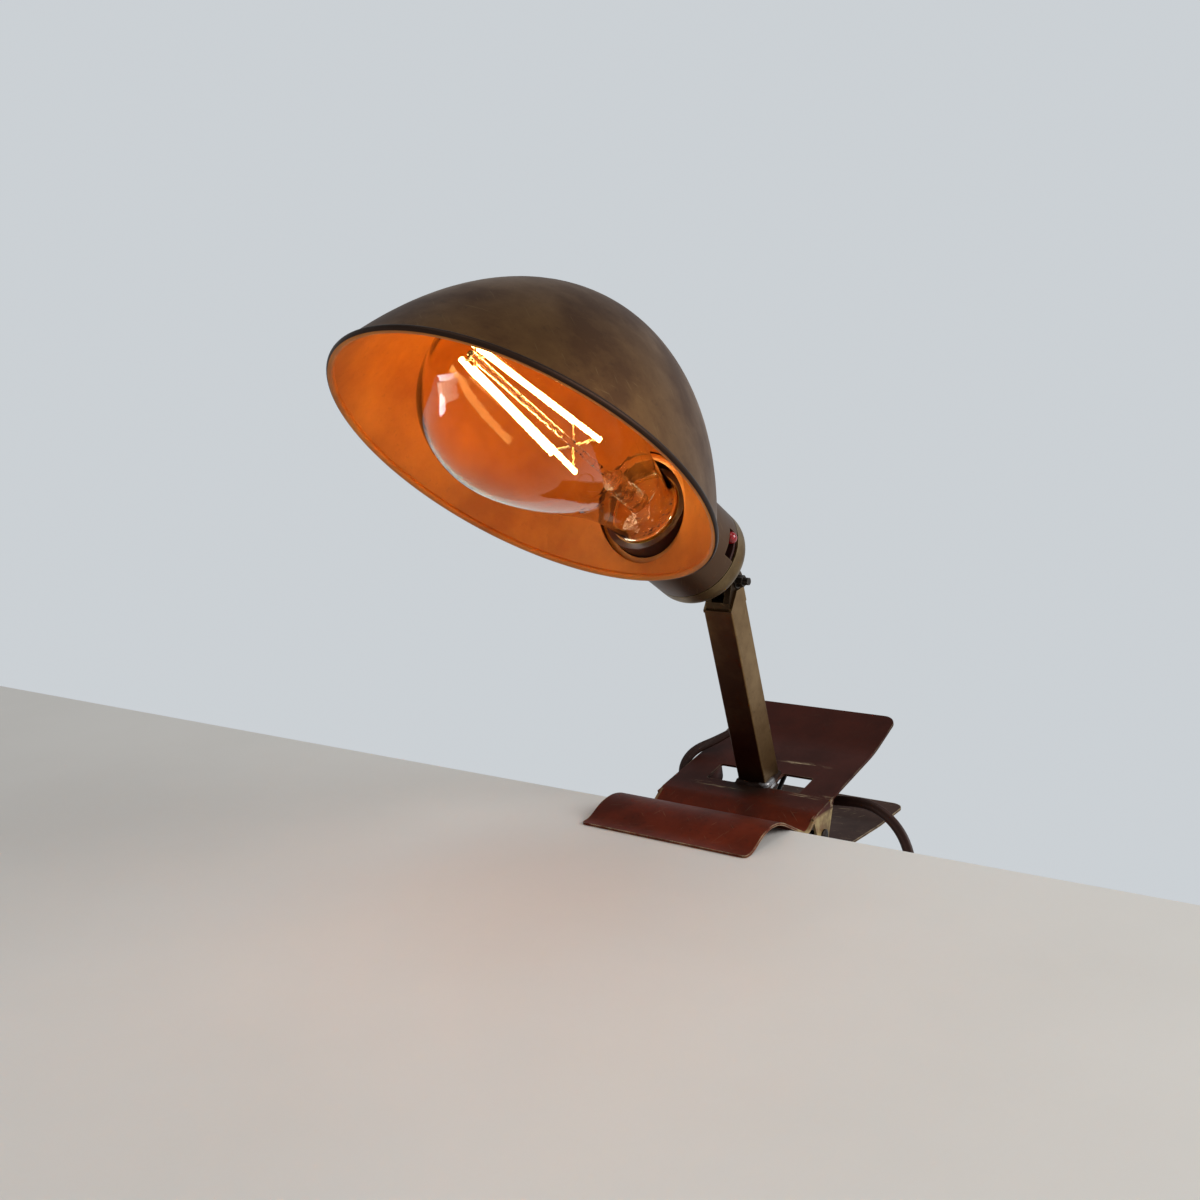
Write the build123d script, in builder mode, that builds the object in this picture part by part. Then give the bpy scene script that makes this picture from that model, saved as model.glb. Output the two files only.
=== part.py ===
from build123d import *
import os
from math import acos, asin, atan2, ceil, cos, degrees, pi, radians, sin, sqrt, tan

# A vintage clip-on reading lamp: a sprung table clip, a square arm, and a tilting dome shade
# over a filament bulb. The origin is the middle of the upper lip's line on the board that the
# clip grips. +X runs along the clip's width, the shade points along -Y, and +Z is up.
# Lengths are in millimetres and angles in degrees.

# Clip sheet and board
SHEET = 1.0
CLIP_WIDTH = 73.0
BOARD = 24.0
LIP_LENGTH = 5.0
LIP_SLOPE = 0.04
LIP_BEND = 12.0
CREST_Y = 21.0
CREST_RISE = 8.1
CREST_BEND = 22.0
VALLEY_Y = 50.0
VALLEY_DROP = 6.5
VALLEY_BEND = 6.0
PLATE_Y = 58.5
PLATE_DROP = 0.8
PLATE_BEND = 8.0
PLATE_ANGLE = 12.0
PLATE_RUN = 55.5
TAIL_ANGLE = 21.8
TAIL_RUN = 25.0
TAIL_BEND = 60.0
REAR_CORNER = 6.0
LIP_CORNER = 1.5

# Windows through the upper jaw, beside the arm
WINDOW_INNER = 8.0
WINDOW_WIDTH = 14.0
WINDOW_LENGTH = 13.5
WINDOW_CORNER = 1.0

# Lower jaw
LOWER_LIP_Y = 1.0
LOWER_LIP_LENGTH = 5.0
LOWER_CREST_DROP = 7.9
LOWER_RIDGE_RISE = 5.5
LOWER_PLATE_Y = 58.0
LOWER_PLATE_RISE = 2.5
LOWER_PLATE_RUN = 66.0
LOWER_PLATE_FALL = 1.7
LOWER_TAIL_RUN = 28.0
LOWER_TAIL_RISE = 1.0

# Jaw hinge and its spring
PIN_Y = 64.0
PIN_DROP = 10.5
PIN_RADIUS = 1.6
PIN_HEAD_RADIUS = 2.8
PIN_HEAD = 1.2
EAR_RADIUS = 4.8
EAR_ROOT = 9.0
EAR_GAP = 0.3
RUNNING_FIT = 0.05
SPRING_WIRE = 2.0
SPRING_RADIUS = 4.2
SPRING_PITCH = 2.6
SPRING_TURNS = 5
SPRING_START_X = -5.2
SPRING_UPPER_Y = 88.0
SPRING_LOWER_Y = 92.0
SPRING_SEAT = 0.3

# Square arm
ARM_SIZE = 12.7
ARM_WALL = 1.0
ARM_CORNER = 0.8
ARM_Y = 77.8
ARM_LEAN = 19.5
ARM_LENGTH = 83.3
TONGUE_LAP = 0.5
TONGUE_FLAT = 5.6
SOLDER_LEG = 2.6
SOLDER_TAPER = 40.0

# Clevis in the top of the arm, and the tilt screw through it
PIVOT_RISE = 8.7
PIVOT_BACK = 4.0
CLEVIS_DEPTH = 13.0
CLEVIS_FIT = 0.05
CLEVIS_EAR = 2.6
CLEVIS_END = 4.4
CLEVIS_BORE = 2.2
TONGUE_GAP = 0.15
TILT_SCREW_RADIUS = 1.5
TILT_HEAD_RADIUS = 3.2
TILT_HEAD = 2.0
TILT_NUT_RADIUS = 2.4
TILT_NUT = 2.6
TILT_TAIL = 2.2
WASHER_RADIUS = 3.0
WASHER = 0.5

# Head: its axis rises from the tilt screw towards the front
HEAD_RISE = 30.0
SEAM = 29.3
SEAM_GAP = 0.5
CAP_RADIUS = 19.4
CAP_WALL = 0.8
CAP_DEPTH = 12.0
CAP_ROUND = 7.5
LUG_END = 4.3
LUG_FLANGE_RADIUS = 6.5
LUG_FLANGE = 1.6
NIPPLE_RADIUS = 4.8
NIPPLE_LENGTH = 4.6
NIPPLE_BORE = 2.0
LOCKNUT = 2.5
LOCKNUT_RADIUS = 7.0
FIT = 0.1

# Socket inside the collar
SOCKET_BACK = 25.0
SOCKET_STEP = 47.0
SOCKET_FRONT = 66.0
SOCKET_RING_RADIUS = 16.0
SOCKET_BORE = 13.9
SOCKET_FLOOR = 39.0
REAR_CAVITY_RADIUS = 14.0
REAR_CAVITY_END = 30.0
SHELL_WALL = 0.4
SHELL_LEDGE = 2.0
CONTACT_RADIUS = 4.0
CONTACT = 1.0
TERMINAL_RADIUS = 2.2
TERMINAL_HEAD = 1.6
TERMINAL_SHANK = 1.1
TERMINAL_OFFSET = 9.5

# Switch lever: a hub inside the socket, a stem through the collar's notch, a glass bead
LEVER_PLANE = 33.6
LEVER_THICKNESS = 2.6
LEVER_PLAY = 0.3
LEVER_HUB = 6.0
LEVER_ARM = 4.0
LEVER_STEM = 1.2
LEVER_ANGLE = 12.0
LEVER_TRAVEL = 16.0
LEVER_SWING_ROOM = 4.0
NOTCH_DEPTH = 6.6
BEAD_RADIUS = 2.3
BEAD_SINK = 0.9

# Shade: the cap of an ellipsoid, cut by the rim plane
SHADE_WALL = 0.9
DOME_AHEAD = 113.4
DOME_CROWN = 48.9
DOME_TIP = 20.8
DOME_LONG = 80.3
DOME_SIDE = 64.3
DOME_TALL = 117.6
RIM_AHEAD = 100.0
RIM_BELOW = 18.1
RIM_TILT = 4.3
RIM_BEAD = 1.2
COLLAR_REACH = 50.0

# Bulb
BULB_NECK = 67.3
BULB_LENGTH = 110.0
BULB_RADIUS = 32.0
BULB_NECK_RADIUS = 13.5
GLASS = 0.8
BASE_RADIUS = 13.0
BASE_WALL = 0.4
BASE_BACK = 43.5
THREAD_DEPTH = 0.5
THREAD_PITCH = 3.6
INSULATOR = 2.2
TIP_RADIUS = 4.5
TIP = 0.9
STEM_RADIUS = 4.0
STEM_LENGTH = 26.0
MAST_RADIUS = 1.2
MAST_TIP = 1.0
STICK_RADIUS = 0.9
STICK_COUNT = 4
STICK_TURN = -28.5
STICK_START = 45.0
STICK_RUN = 57.0
STICK_FOOT_RADIUS = 9.2
STICK_HEAD_RADIUS = 4.0
WIRE_RADIUS = 0.4

# Mains cord
CORD = 4.0
CORD_HOLE_HEIGHT = 16.0
GROMMET_WALL = 1.2
GROMMET_FLANGE = 1.6
CORD_EXIT = 9.6
CORD_ENTRY = 10.0
LEAD_BEND = 4.5
LEAD_SHORT = 3.3
COIL_PITCH = 4.5
COIL_OUTER = 36.5
COIL_TURNS_IN = 4.5
COIL_CLIMB = 0.5
COIL_TURNS_OUT = 4.25
COIL_X = 46.0
COIL_Y = 78.0
COIL_Z = -88.0
TAIL_LENGTH = 42.0
TIE_BAND = 8.0
TIE_THICK = 0.8
TIE_PLAY = 0.3
TIE_TUCK = 0.75
PLUG_WIDTH = 25.0
PLUG_DEPTH = 14.0
PLUG_HEIGHT = 28.0
PLUG_ROUND = 4.0
PLUG_NECK_WIDTH = 12.5
PLUG_NECK_DEPTH = 9.8
BLADE_WIDTH = 6.35
BLADE_THICK = 1.5
BLADE_LENGTH = 17.0
BLADE_SPACING = 12.7

# The cord's free run, from the grommet behind the arm round the clip's left edge, under the
# plate, out on the right and down to the coil
CORD_ROUTE = [
    (-4.5, 97, 25.5),
    (-13, 101.5, 23),
    (-23, 101, 18),
    (-32, 96, 13.2),
    (-39.5, 89, 9.3),
    (-41.8, 83.5, 2.5),
    (-39, 80.5, -4.5),
    (-30, 80.5, -8.5),
    (-15, 83, -8),
    (2, 87, -6.5),
    (19, 89, -5),
    (34, 88.5, -3),
    (46, 87, -2),
    (55.5, 86, -6.2),
    (62.5, 85, -14),
    (66.5, 83, -26),
    (67, 80.5, -37),
    (63.5, 79, -46.5),
]

os.makedirs("parts", exist_ok=True)

X_AXIS = Vector(1, 0, 0)


def save(piece, name):
    """Label one finished piece and write it."""
    piece.part.label = name
    export_step(piece.part, f"parts/{name}.step")


def plate_under(y):
    """Height of the upper plate's underside."""
    return (y - PLATE_Y) * tan(radians(PLATE_ANGLE)) - PLATE_DROP


def lower_top(y):
    """Height of the lower plate's top."""
    return LOWER_PLATE_Z - (y - LOWER_PLATE_Y) * LOWER_PLATE_FALL / LOWER_PLATE_RUN


def biarc(start, start_way, end, end_way):
    """Two tangent arcs from start to end, along the unit directions given there."""
    span = end - start
    ways = start_way + end_way
    bend = 2 * (1 - start_way.dot(end_way))
    along = span.dot(ways)
    reach = (sqrt(along * along + bend * span.dot(span)) - along) / bend
    first = start + start_way * reach
    last = end - end_way * reach
    middle = (first + last) * 0.5
    TangentArc(start, middle, tangent=start_way)
    TangentArc(middle, end, tangent=last - first)


def corner_radii(points):
    """The largest arc at each corner that leaves a tenth of its shorter run straight."""
    radii = []
    for before, corner, after in zip(points, points[1:], points[2:]):
        run_in = Vector(corner) - Vector(before)
        run_out = Vector(after) - Vector(corner)
        half_turn = radians(run_in.get_angle(run_out)) / 2
        radii.append(0.45 * min(run_in.length, run_out.length) / tan(half_turn))
    return radii


def least_gap(points, skip, thickness):
    """Least clear distance between stretches of one wire that aren't neighbours."""
    gap = min(
        (points[i] - points[j]).length
        for i in range(len(points))
        for j in range(i + skip, len(points))
    )
    return gap - thickness


# Places worked out from the sizes above
LOWER_WIDTH = CLIP_WIDTH - 2 * SHEET - 2 * EAR_GAP
LOWER_PLATE_Z = LOWER_PLATE_RISE - BOARD
TAIL_Y = PLATE_Y + PLATE_RUN
PLATE_TOP = SHEET / cos(radians(PLATE_ANGLE))
ARM_FOOT = Vector(0, ARM_Y, plate_under(ARM_Y) + PLATE_TOP)
ARM_UP = Vector(0, -sin(radians(ARM_LEAN)), cos(radians(ARM_LEAN)))
ARM = Plane(origin=ARM_FOOT, x_dir=X_AXIS, z_dir=ARM_UP)
PIVOT_HEIGHT = ARM_LENGTH + PIVOT_RISE
PIVOT = ARM.from_local_coords(Vector(0, PIVOT_BACK, PIVOT_HEIGHT))
HEAD_WAY = Vector(0, -cos(radians(HEAD_RISE)), sin(radians(HEAD_RISE)))
HEAD = Plane(origin=PIVOT, x_dir=X_AXIS, z_dir=HEAD_WAY)
HEAD_AXIS = Axis(PIVOT, HEAD_WAY)
HEAD_SIDE = Plane(origin=PIVOT, x_dir=X_AXIS, z_dir=X_AXIS.cross(HEAD_WAY))
PLATE = Plane(
    origin=ARM_FOOT,
    x_dir=X_AXIS,
    z_dir=(0, -sin(radians(PLATE_ANGLE)), cos(radians(PLATE_ANGLE))),
)
ARM_SIDE = Plane(origin=ARM_FOOT, x_dir=ARM.y_dir, z_dir=X_AXIS)
COLLAR_BACK = SEAM + SEAM_GAP
COLLAR_BORE = CAP_RADIUS - CAP_WALL
CAP_BACK = SEAM - CAP_DEPTH


# The clip: two pressed jaws on one pin
def pressed_sheet(points, bends, width, side):
    """A strip of sheet metal along a bent line, as wide as the jaw, inside a BuildPart."""
    with BuildSketch(Plane.YZ) as section:
        with BuildLine():
            strip = FilletPolyline(*points, radius=bends)
            offset(strip, amount=SHEET, side=side, closed=True)
        make_face()
    extrude(section.sketch, amount=width / 2, both=True)


def round_jaw_corners(rear_radius, lip_radius):
    """Round the four corners of a jaw, seen from above."""
    part = BuildPart._get_context().part
    rear = part.faces().sort_by(Axis.Y)[-1].edges().sort_by(SortBy.LENGTH)[:2]
    lip = part.faces().sort_by(Axis.Y)[0].edges().sort_by(SortBy.LENGTH)[:2]
    fillet(rear, radius=rear_radius)
    fillet(lip, radius=lip_radius)


def hinge_ears(outer_x, root_z):
    """A pair of turned ears, from the sheet to the pin."""
    for inner_x in (outer_x - SHEET, -outer_x):
        with BuildSketch(Plane.YZ.offset(inner_x)) as ear:
            with Locations((PIN_Y, -PIN_DROP)):
                Circle(EAR_RADIUS)
            for root_y in (PIN_Y - EAR_ROOT, PIN_Y + EAR_ROOT):
                with Locations((root_y, root_z(root_y))):
                    Circle(SHEET / 4)
            make_hull()
        extrude(ear.sketch, amount=SHEET)


def pin_bore():
    """The pin's running hole through both ears."""
    with BuildSketch(Plane.YZ.offset(-CLIP_WIDTH)) as bore:
        with Locations((PIN_Y, -PIN_DROP)):
            Circle(PIN_RADIUS + RUNNING_FIT)
    extrude(bore.sketch, amount=2 * CLIP_WIDTH, mode=Mode.SUBTRACT)


TAIL_END = (
    TAIL_Y + TAIL_RUN,
    plate_under(TAIL_Y) + TAIL_RUN * tan(radians(TAIL_ANGLE)),
)
UPPER_LINE = [
    (0, 0),
    (LIP_LENGTH, LIP_SLOPE * LIP_LENGTH),
    (CREST_Y, CREST_RISE),
    (VALLEY_Y, -VALLEY_DROP),
    (PLATE_Y, -PLATE_DROP),
    (TAIL_Y, plate_under(TAIL_Y)),
    TAIL_END,
]
LOWER_LINE = [
    (LOWER_LIP_Y, -BOARD),
    (LOWER_LIP_Y + LOWER_LIP_LENGTH, -BOARD - LIP_SLOPE * LOWER_LIP_LENGTH),
    (CREST_Y, -BOARD - LOWER_CREST_DROP),
    (VALLEY_Y, -BOARD + LOWER_RIDGE_RISE),
    (LOWER_PLATE_Y, LOWER_PLATE_Z),
    (LOWER_PLATE_Y + LOWER_PLATE_RUN, LOWER_PLATE_Z - LOWER_PLATE_FALL),
    (
        LOWER_PLATE_Y + LOWER_PLATE_RUN + LOWER_TAIL_RUN,
        LOWER_PLATE_Z - LOWER_PLATE_FALL + LOWER_TAIL_RISE,
    ),
]

with BuildPart() as upper_jaw:
    pressed_sheet(
        UPPER_LINE, [LIP_BEND, CREST_BEND, VALLEY_BEND, PLATE_BEND, TAIL_BEND], CLIP_WIDTH, Side.LEFT
    )
    round_jaw_corners(REAR_CORNER, LIP_CORNER)
    with BuildSketch(PLATE.offset(-2 * SHEET)):
        for side_x in (-1, 1):
            with Locations((side_x * (WINDOW_INNER + WINDOW_WIDTH / 2), 0)):
                RectangleRounded(WINDOW_WIDTH, WINDOW_LENGTH, WINDOW_CORNER)
    extrude(amount=3 * SHEET, mode=Mode.SUBTRACT)
    hinge_ears(CLIP_WIDTH / 2, lambda y: max(plate_under(y), -PLATE_DROP - 3 * SHEET) + SHEET / 2)
    pin_bore()
save(upper_jaw, "upper_jaw")

with BuildPart() as lower_jaw:
    pressed_sheet(
        LOWER_LINE, [LIP_BEND, CREST_BEND, VALLEY_BEND, PLATE_BEND, TAIL_BEND], LOWER_WIDTH, Side.RIGHT
    )
    round_jaw_corners(REAR_CORNER, LIP_CORNER)
    hinge_ears(LOWER_WIDTH / 2, lambda y: LOWER_PLATE_Z - SHEET / 2)
    pin_bore()
save(lower_jaw, "lower_jaw")

with BuildPart() as hinge_pin:
    with BuildSketch(Plane.XZ.offset(-PIN_Y)):
        with BuildLine():
            head_x = CLIP_WIDTH / 2 + FIT
            Polyline(
                (-head_x - PIN_HEAD, -PIN_DROP),
                (-head_x - PIN_HEAD, PIN_HEAD_RADIUS / 2 - PIN_DROP),
                (-head_x - PIN_HEAD / 2, PIN_HEAD_RADIUS - PIN_DROP),
                (-head_x, PIN_HEAD_RADIUS - PIN_DROP),
                (-head_x, PIN_RADIUS - PIN_DROP),
                (head_x, PIN_RADIUS - PIN_DROP),
                (head_x, PIN_HEAD_RADIUS - PIN_DROP),
                (head_x + PIN_HEAD / 2, PIN_HEAD_RADIUS - PIN_DROP),
                (head_x + PIN_HEAD, PIN_HEAD_RADIUS / 2 - PIN_DROP),
                (head_x + PIN_HEAD, -PIN_DROP),
                close=True,
            )
        make_face()
    revolve(axis=Axis((0, PIN_Y, -PIN_DROP), X_AXIS))
save(hinge_pin, "hinge_pin")

# The jaw spring: curls round the pin, one leg under the upper plate, one on the lower plate
SEAT = SPRING_WIRE / 2 + SPRING_SEAT
UPPER_SEAT = (SPRING_UPPER_Y, plate_under(SPRING_UPPER_Y) - SEAT / cos(radians(PLATE_ANGLE)))
LOWER_SEAT = (SPRING_LOWER_Y, lower_top(SPRING_LOWER_Y) + SEAT)


def spring_tangent(seat, sense):
    """Angle on the spring's circle where a straight leg to the seat leaves it."""
    dy = seat[0] - PIN_Y
    dz = seat[1] + PIN_DROP
    return atan2(dz, dy) - sense * acos(SPRING_RADIUS / sqrt(dy * dy + dz * dz))


curl_start = spring_tangent(LOWER_SEAT, -1)
curl_sweep = spring_tangent(UPPER_SEAT, 1) + SPRING_TURNS * 2 * pi - curl_start
curl_steps = ceil(curl_sweep / (pi / 2))


def spring_point(share):
    """Point at a share of the curls' length."""
    angle = curl_start + curl_sweep * share
    return Vector(
        SPRING_START_X + SPRING_PITCH * curl_sweep * share / (2 * pi),
        PIN_Y + SPRING_RADIUS * cos(angle),
        SPRING_RADIUS * sin(angle) - PIN_DROP,
    )


def spring_way(share):
    """Direction there; the curls' two ends lie square to the pin, as the legs do."""
    angle = curl_start + curl_sweep * share
    climb = SPRING_PITCH / (2 * pi * SPRING_RADIUS) if 0 < share < 1 else 0
    return Vector(climb, -sin(angle), cos(angle)).normalized()


with BuildPart() as jaw_spring:
    lower_end = Vector(spring_point(0).X, *LOWER_SEAT)
    upper_end = Vector(spring_point(1).X, *UPPER_SEAT)
    with BuildLine() as spring_line:
        Line(lower_end, spring_point(0))
        for step in range(curl_steps):
            here = step / curl_steps
            there = (step + 1) / curl_steps
            biarc(spring_point(here), spring_way(here), spring_point(there), spring_way(there))
        Line(spring_point(1), upper_end)
    with BuildSketch(Plane(origin=lower_end, z_dir=spring_point(0) - lower_end)):
        Circle(SPRING_WIRE / 2)
    sweep(path=spring_line.line)
save(jaw_spring, "jaw_spring")
curl_points = [spring_point(i / (24 * SPRING_TURNS)) for i in range(24 * SPRING_TURNS + 1)]
print(f"jaw_spring: least gap {least_gap(curl_points, 12, SPRING_WIRE):.2f} mm")

# The arm: a square tube whose side walls rise as tongues beside the clevis
ARM_INNER = ARM_SIZE - 2 * ARM_WALL
TONGUE_TOP = PIVOT_HEIGHT - max(TILT_HEAD_RADIUS, WASHER_RADIUS) + TONGUE_LAP

with BuildPart() as arm_tube:
    with BuildSketch(ARM.offset(-ARM_SIZE)):
        RectangleRounded(ARM_SIZE, ARM_SIZE, ARM_CORNER)
        Rectangle(ARM_INNER, ARM_INNER, mode=Mode.SUBTRACT)
    extrude(amount=ARM_SIZE + ARM_LENGTH)
    for wall_x in (-ARM_SIZE / 2, ARM_SIZE / 2 - ARM_WALL):
        with BuildSketch(ARM_SIDE.offset(wall_x)):
            with BuildLine():
                Polyline(
                    (-ARM_SIZE / 2, ARM_LENGTH - ARM_WALL),
                    (-ARM_SIZE / 2, ARM_LENGTH),
                    (ARM_SIZE / 2 - TONGUE_FLAT, TONGUE_TOP),
                    (ARM_SIZE / 2, TONGUE_TOP - ARM_WALL),
                    (ARM_SIZE / 2, ARM_LENGTH - ARM_WALL),
                    close=True,
                )
            make_face()
        extrude(amount=ARM_WALL)
    split(bisect_by=PLATE, keep=Keep.TOP)
    with BuildSketch(Plane(ARM.from_local_coords(Vector(0, 0, CORD_HOLE_HEIGHT)), X_AXIS, ARM.y_dir)):
        Circle(CORD / 2 + GROMMET_WALL + FIT)
    extrude(amount=ARM_SIZE, mode=Mode.SUBTRACT)
save(arm_tube, "arm_tube")

with BuildPart() as foot_solder:
    with BuildSketch(PLATE):
        RectangleRounded(ARM_SIZE + 2 * SOLDER_LEG, ARM_SIZE + 2 * SOLDER_LEG, SOLDER_LEG)
    extrude(amount=SOLDER_LEG, taper=SOLDER_TAPER)
    with BuildSketch(ARM.offset(-ARM_SIZE)):
        RectangleRounded(ARM_SIZE, ARM_SIZE, ARM_CORNER)
    extrude(amount=3 * ARM_SIZE, mode=Mode.SUBTRACT)
save(foot_solder, "foot_solder")

CLEVIS_SIZE = ARM_INNER - 2 * CLEVIS_FIT
SLOT_HALF = CLEVIS_SIZE / 2 - CLEVIS_EAR
CLEVIS_TOP = PIVOT_HEIGHT - CLEVIS_END - ARM_WALL

with BuildPart() as arm_clevis:
    with BuildSketch(ARM.offset(CLEVIS_TOP - CLEVIS_DEPTH - ARM_WALL)):
        Rectangle(CLEVIS_SIZE, CLEVIS_SIZE)
    extrude(amount=CLEVIS_DEPTH + ARM_WALL)
    with BuildSketch(ARM_SIDE.offset(-CLEVIS_SIZE / 2)):
        with Locations((PIVOT_BACK, PIVOT_HEIGHT)):
            Circle(CLEVIS_END)
        with Locations((0, CLEVIS_TOP - ARM_WALL)):
            Rectangle(CLEVIS_SIZE, ARM_WALL)
        make_hull()
    extrude(amount=CLEVIS_SIZE)
    with BuildSketch(ARM_SIDE.offset(-SLOT_HALF)):
        with Locations((0, CLEVIS_TOP + ARM_SIZE)):
            Rectangle(4 * ARM_SIZE, 2 * ARM_SIZE)
    extrude(amount=2 * SLOT_HALF, mode=Mode.SUBTRACT)
    with BuildSketch(ARM_SIDE.offset(-ARM_SIZE)):
        with Locations((PIVOT_BACK, PIVOT_HEIGHT)):
            Circle(TILT_SCREW_RADIUS + RUNNING_FIT)
    extrude(amount=2 * ARM_SIZE, mode=Mode.SUBTRACT)
    with BuildSketch(ARM):
        Circle(CLEVIS_BORE)
    extrude(amount=PIVOT_HEIGHT, mode=Mode.SUBTRACT)
save(arm_clevis, "arm_clevis")

# The tilt screw, its nut on the right and a washer under each
PIVOT_SIDE = Plane(origin=PIVOT, x_dir=ARM.y_dir, z_dir=X_AXIS)
WASHER_X = CLEVIS_SIZE / 2
HEAD_X = WASHER_X + WASHER

with BuildPart() as tilt_screw:
    with BuildSketch(PIVOT_SIDE.offset(-HEAD_X - TILT_HEAD)):
        Circle(TILT_HEAD_RADIUS)
    extrude(amount=TILT_HEAD)
    fillet(tilt_screw.edges().sort_by(Axis.X)[0], radius=TILT_HEAD / 2)
    with BuildSketch(PIVOT_SIDE.offset(-HEAD_X - TILT_HEAD)):
        Rectangle(2 * TILT_HEAD_RADIUS, TILT_HEAD / 3)
    extrude(amount=TILT_HEAD / 2, mode=Mode.SUBTRACT)
    with BuildSketch(PIVOT_SIDE.offset(-HEAD_X)):
        Circle(TILT_SCREW_RADIUS)
    extrude(amount=2 * HEAD_X + TILT_NUT + TILT_TAIL)
save(tilt_screw, "tilt_screw")

with BuildPart() as tilt_nut:
    with BuildSketch(PIVOT_SIDE.offset(HEAD_X)):
        RegularPolygon(TILT_NUT_RADIUS, 6)
        Circle(TILT_SCREW_RADIUS + RUNNING_FIT, mode=Mode.SUBTRACT)
    extrude(amount=TILT_NUT)
save(tilt_nut, "tilt_nut")

with BuildPart() as tilt_washers:
    for washer_x in (WASHER_X, -HEAD_X):
        with BuildSketch(PIVOT_SIDE.offset(washer_x)):
            Circle(WASHER_RADIUS)
            Circle(TILT_SCREW_RADIUS + RUNNING_FIT, mode=Mode.SUBTRACT)
        extrude(amount=WASHER)
save(tilt_washers, "tilt_washers")

# The head's lug: a tongue in the clevis, a flange behind the cap and a hollow threaded nipple
TONGUE_HALF = SLOT_HALF - TONGUE_GAP
NIPPLE_END = CAP_BACK + NIPPLE_LENGTH

with BuildPart() as head_lug:
    with BuildSketch(Plane(origin=PIVOT, x_dir=HEAD_WAY, z_dir=X_AXIS).offset(-TONGUE_HALF)):
        Circle(LUG_END)
        with Locations((CAP_BACK / 2, 0)):
            Rectangle(CAP_BACK, 2 * LUG_END)
    extrude(amount=2 * TONGUE_HALF)
    with BuildSketch(HEAD.offset(CAP_BACK - LUG_FLANGE)):
        Circle(LUG_FLANGE_RADIUS)
    extrude(amount=LUG_FLANGE)
    with BuildSketch(HEAD.offset(CAP_BACK)):
        Circle(NIPPLE_RADIUS)
    extrude(amount=NIPPLE_LENGTH)
    with BuildSketch(HEAD.offset(NIPPLE_END)):
        Circle(NIPPLE_BORE)
    extrude(amount=-NIPPLE_LENGTH - LUG_FLANGE - LUG_END, mode=Mode.SUBTRACT)
    with BuildSketch(PIVOT_SIDE.offset(-ARM_SIZE)):
        Circle(TILT_SCREW_RADIUS + RUNNING_FIT)
    extrude(amount=2 * ARM_SIZE, mode=Mode.SUBTRACT)
save(head_lug, "head_lug")

with BuildPart() as lug_locknut:
    with BuildSketch(HEAD.offset(CAP_BACK + CAP_WALL)):
        RegularPolygon(LOCKNUT_RADIUS, 6)
        Circle(NIPPLE_RADIUS + FIT, mode=Mode.SUBTRACT)
    extrude(amount=LOCKNUT)
save(lug_locknut, "lug_locknut")

with BuildPart() as socket_cap:
    with BuildSketch(HEAD.offset(CAP_BACK)):
        Circle(CAP_RADIUS)
    extrude(amount=CAP_DEPTH)
    fillet(socket_cap.faces().sort_by(HEAD_AXIS)[0].edges(), radius=CAP_ROUND)
    offset(amount=-CAP_WALL, openings=socket_cap.faces().sort_by(HEAD_AXIS)[-1])
    with BuildSketch(HEAD.offset(CAP_BACK)):
        Circle(NIPPLE_RADIUS + FIT)
    extrude(amount=CAP_DEPTH, mode=Mode.SUBTRACT)
save(socket_cap, "socket_cap")

# The shade: ellipsoid cap and collar in one spun sheet, with a beaded rim
DOME_WAY = HEAD_WAY * cos(radians(DOME_TIP)) + HEAD.y_dir * sin(radians(DOME_TIP))
DOME_CENTRE = HEAD.from_local_coords(Vector(0, DOME_CROWN - DOME_TALL, SEAM + DOME_AHEAD))
DOME = Plane(origin=DOME_CENTRE, x_dir=DOME_WAY, z_dir=X_AXIS)
RIM_WAY = HEAD_WAY * cos(radians(RIM_TILT)) + HEAD.y_dir * sin(radians(RIM_TILT))
RIM_UP = HEAD.y_dir * cos(radians(RIM_TILT)) - HEAD_WAY * sin(radians(RIM_TILT))
RIM_POINT = HEAD.from_local_coords(Vector(0, -RIM_BELOW, SEAM + RIM_AHEAD))
RIM = Plane(origin=RIM_POINT, x_dir=RIM_WAY, z_dir=RIM_UP)


def ellipsoid(shrink):
    """The dome's whole ellipsoid, drawn in by a wall."""
    ball = Sphere(1, mode=Mode.PRIVATE)
    half_sizes = (DOME_LONG - shrink, DOME_TALL - shrink, DOME_SIDE - shrink)
    return DOME.location * scale(ball, by=half_sizes, mode=Mode.PRIVATE)


def rim_ellipse(shrink):
    """Centre along the rim, half length and half width where the rim plane cuts the dome."""
    long_half, tall_half, side_half = DOME_LONG - shrink, DOME_TALL - shrink, DOME_SIDE - shrink
    away = RIM_POINT - DOME_CENTRE
    way_long = RIM_WAY.dot(DOME.x_dir) / long_half
    way_tall = RIM_WAY.dot(DOME.y_dir) / tall_half
    off_long = away.dot(DOME.x_dir) / long_half
    off_tall = away.dot(DOME.y_dir) / tall_half
    square = way_long**2 + way_tall**2
    centre = -(way_long * off_long + way_tall * off_tall) / square
    room = 1 - off_long**2 - off_tall**2 + square * centre**2
    return centre, sqrt(room / square), side_half * sqrt(room)


DOME_SKIN = ellipsoid(0)
DOME_HOLLOW = ellipsoid(SHADE_WALL)
BEAD_REACH = CAP_RADIUS - BEAD_SINK
BEAD_ROOM = BEAD_RADIUS + LEVER_PLAY
NOTCH_HALF_ANGLE = LEVER_TRAVEL / 2 + degrees(asin(BEAD_ROOM / BEAD_REACH))
LEVER_MIDDLE = LEVER_ANGLE - LEVER_TRAVEL / 2


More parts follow.
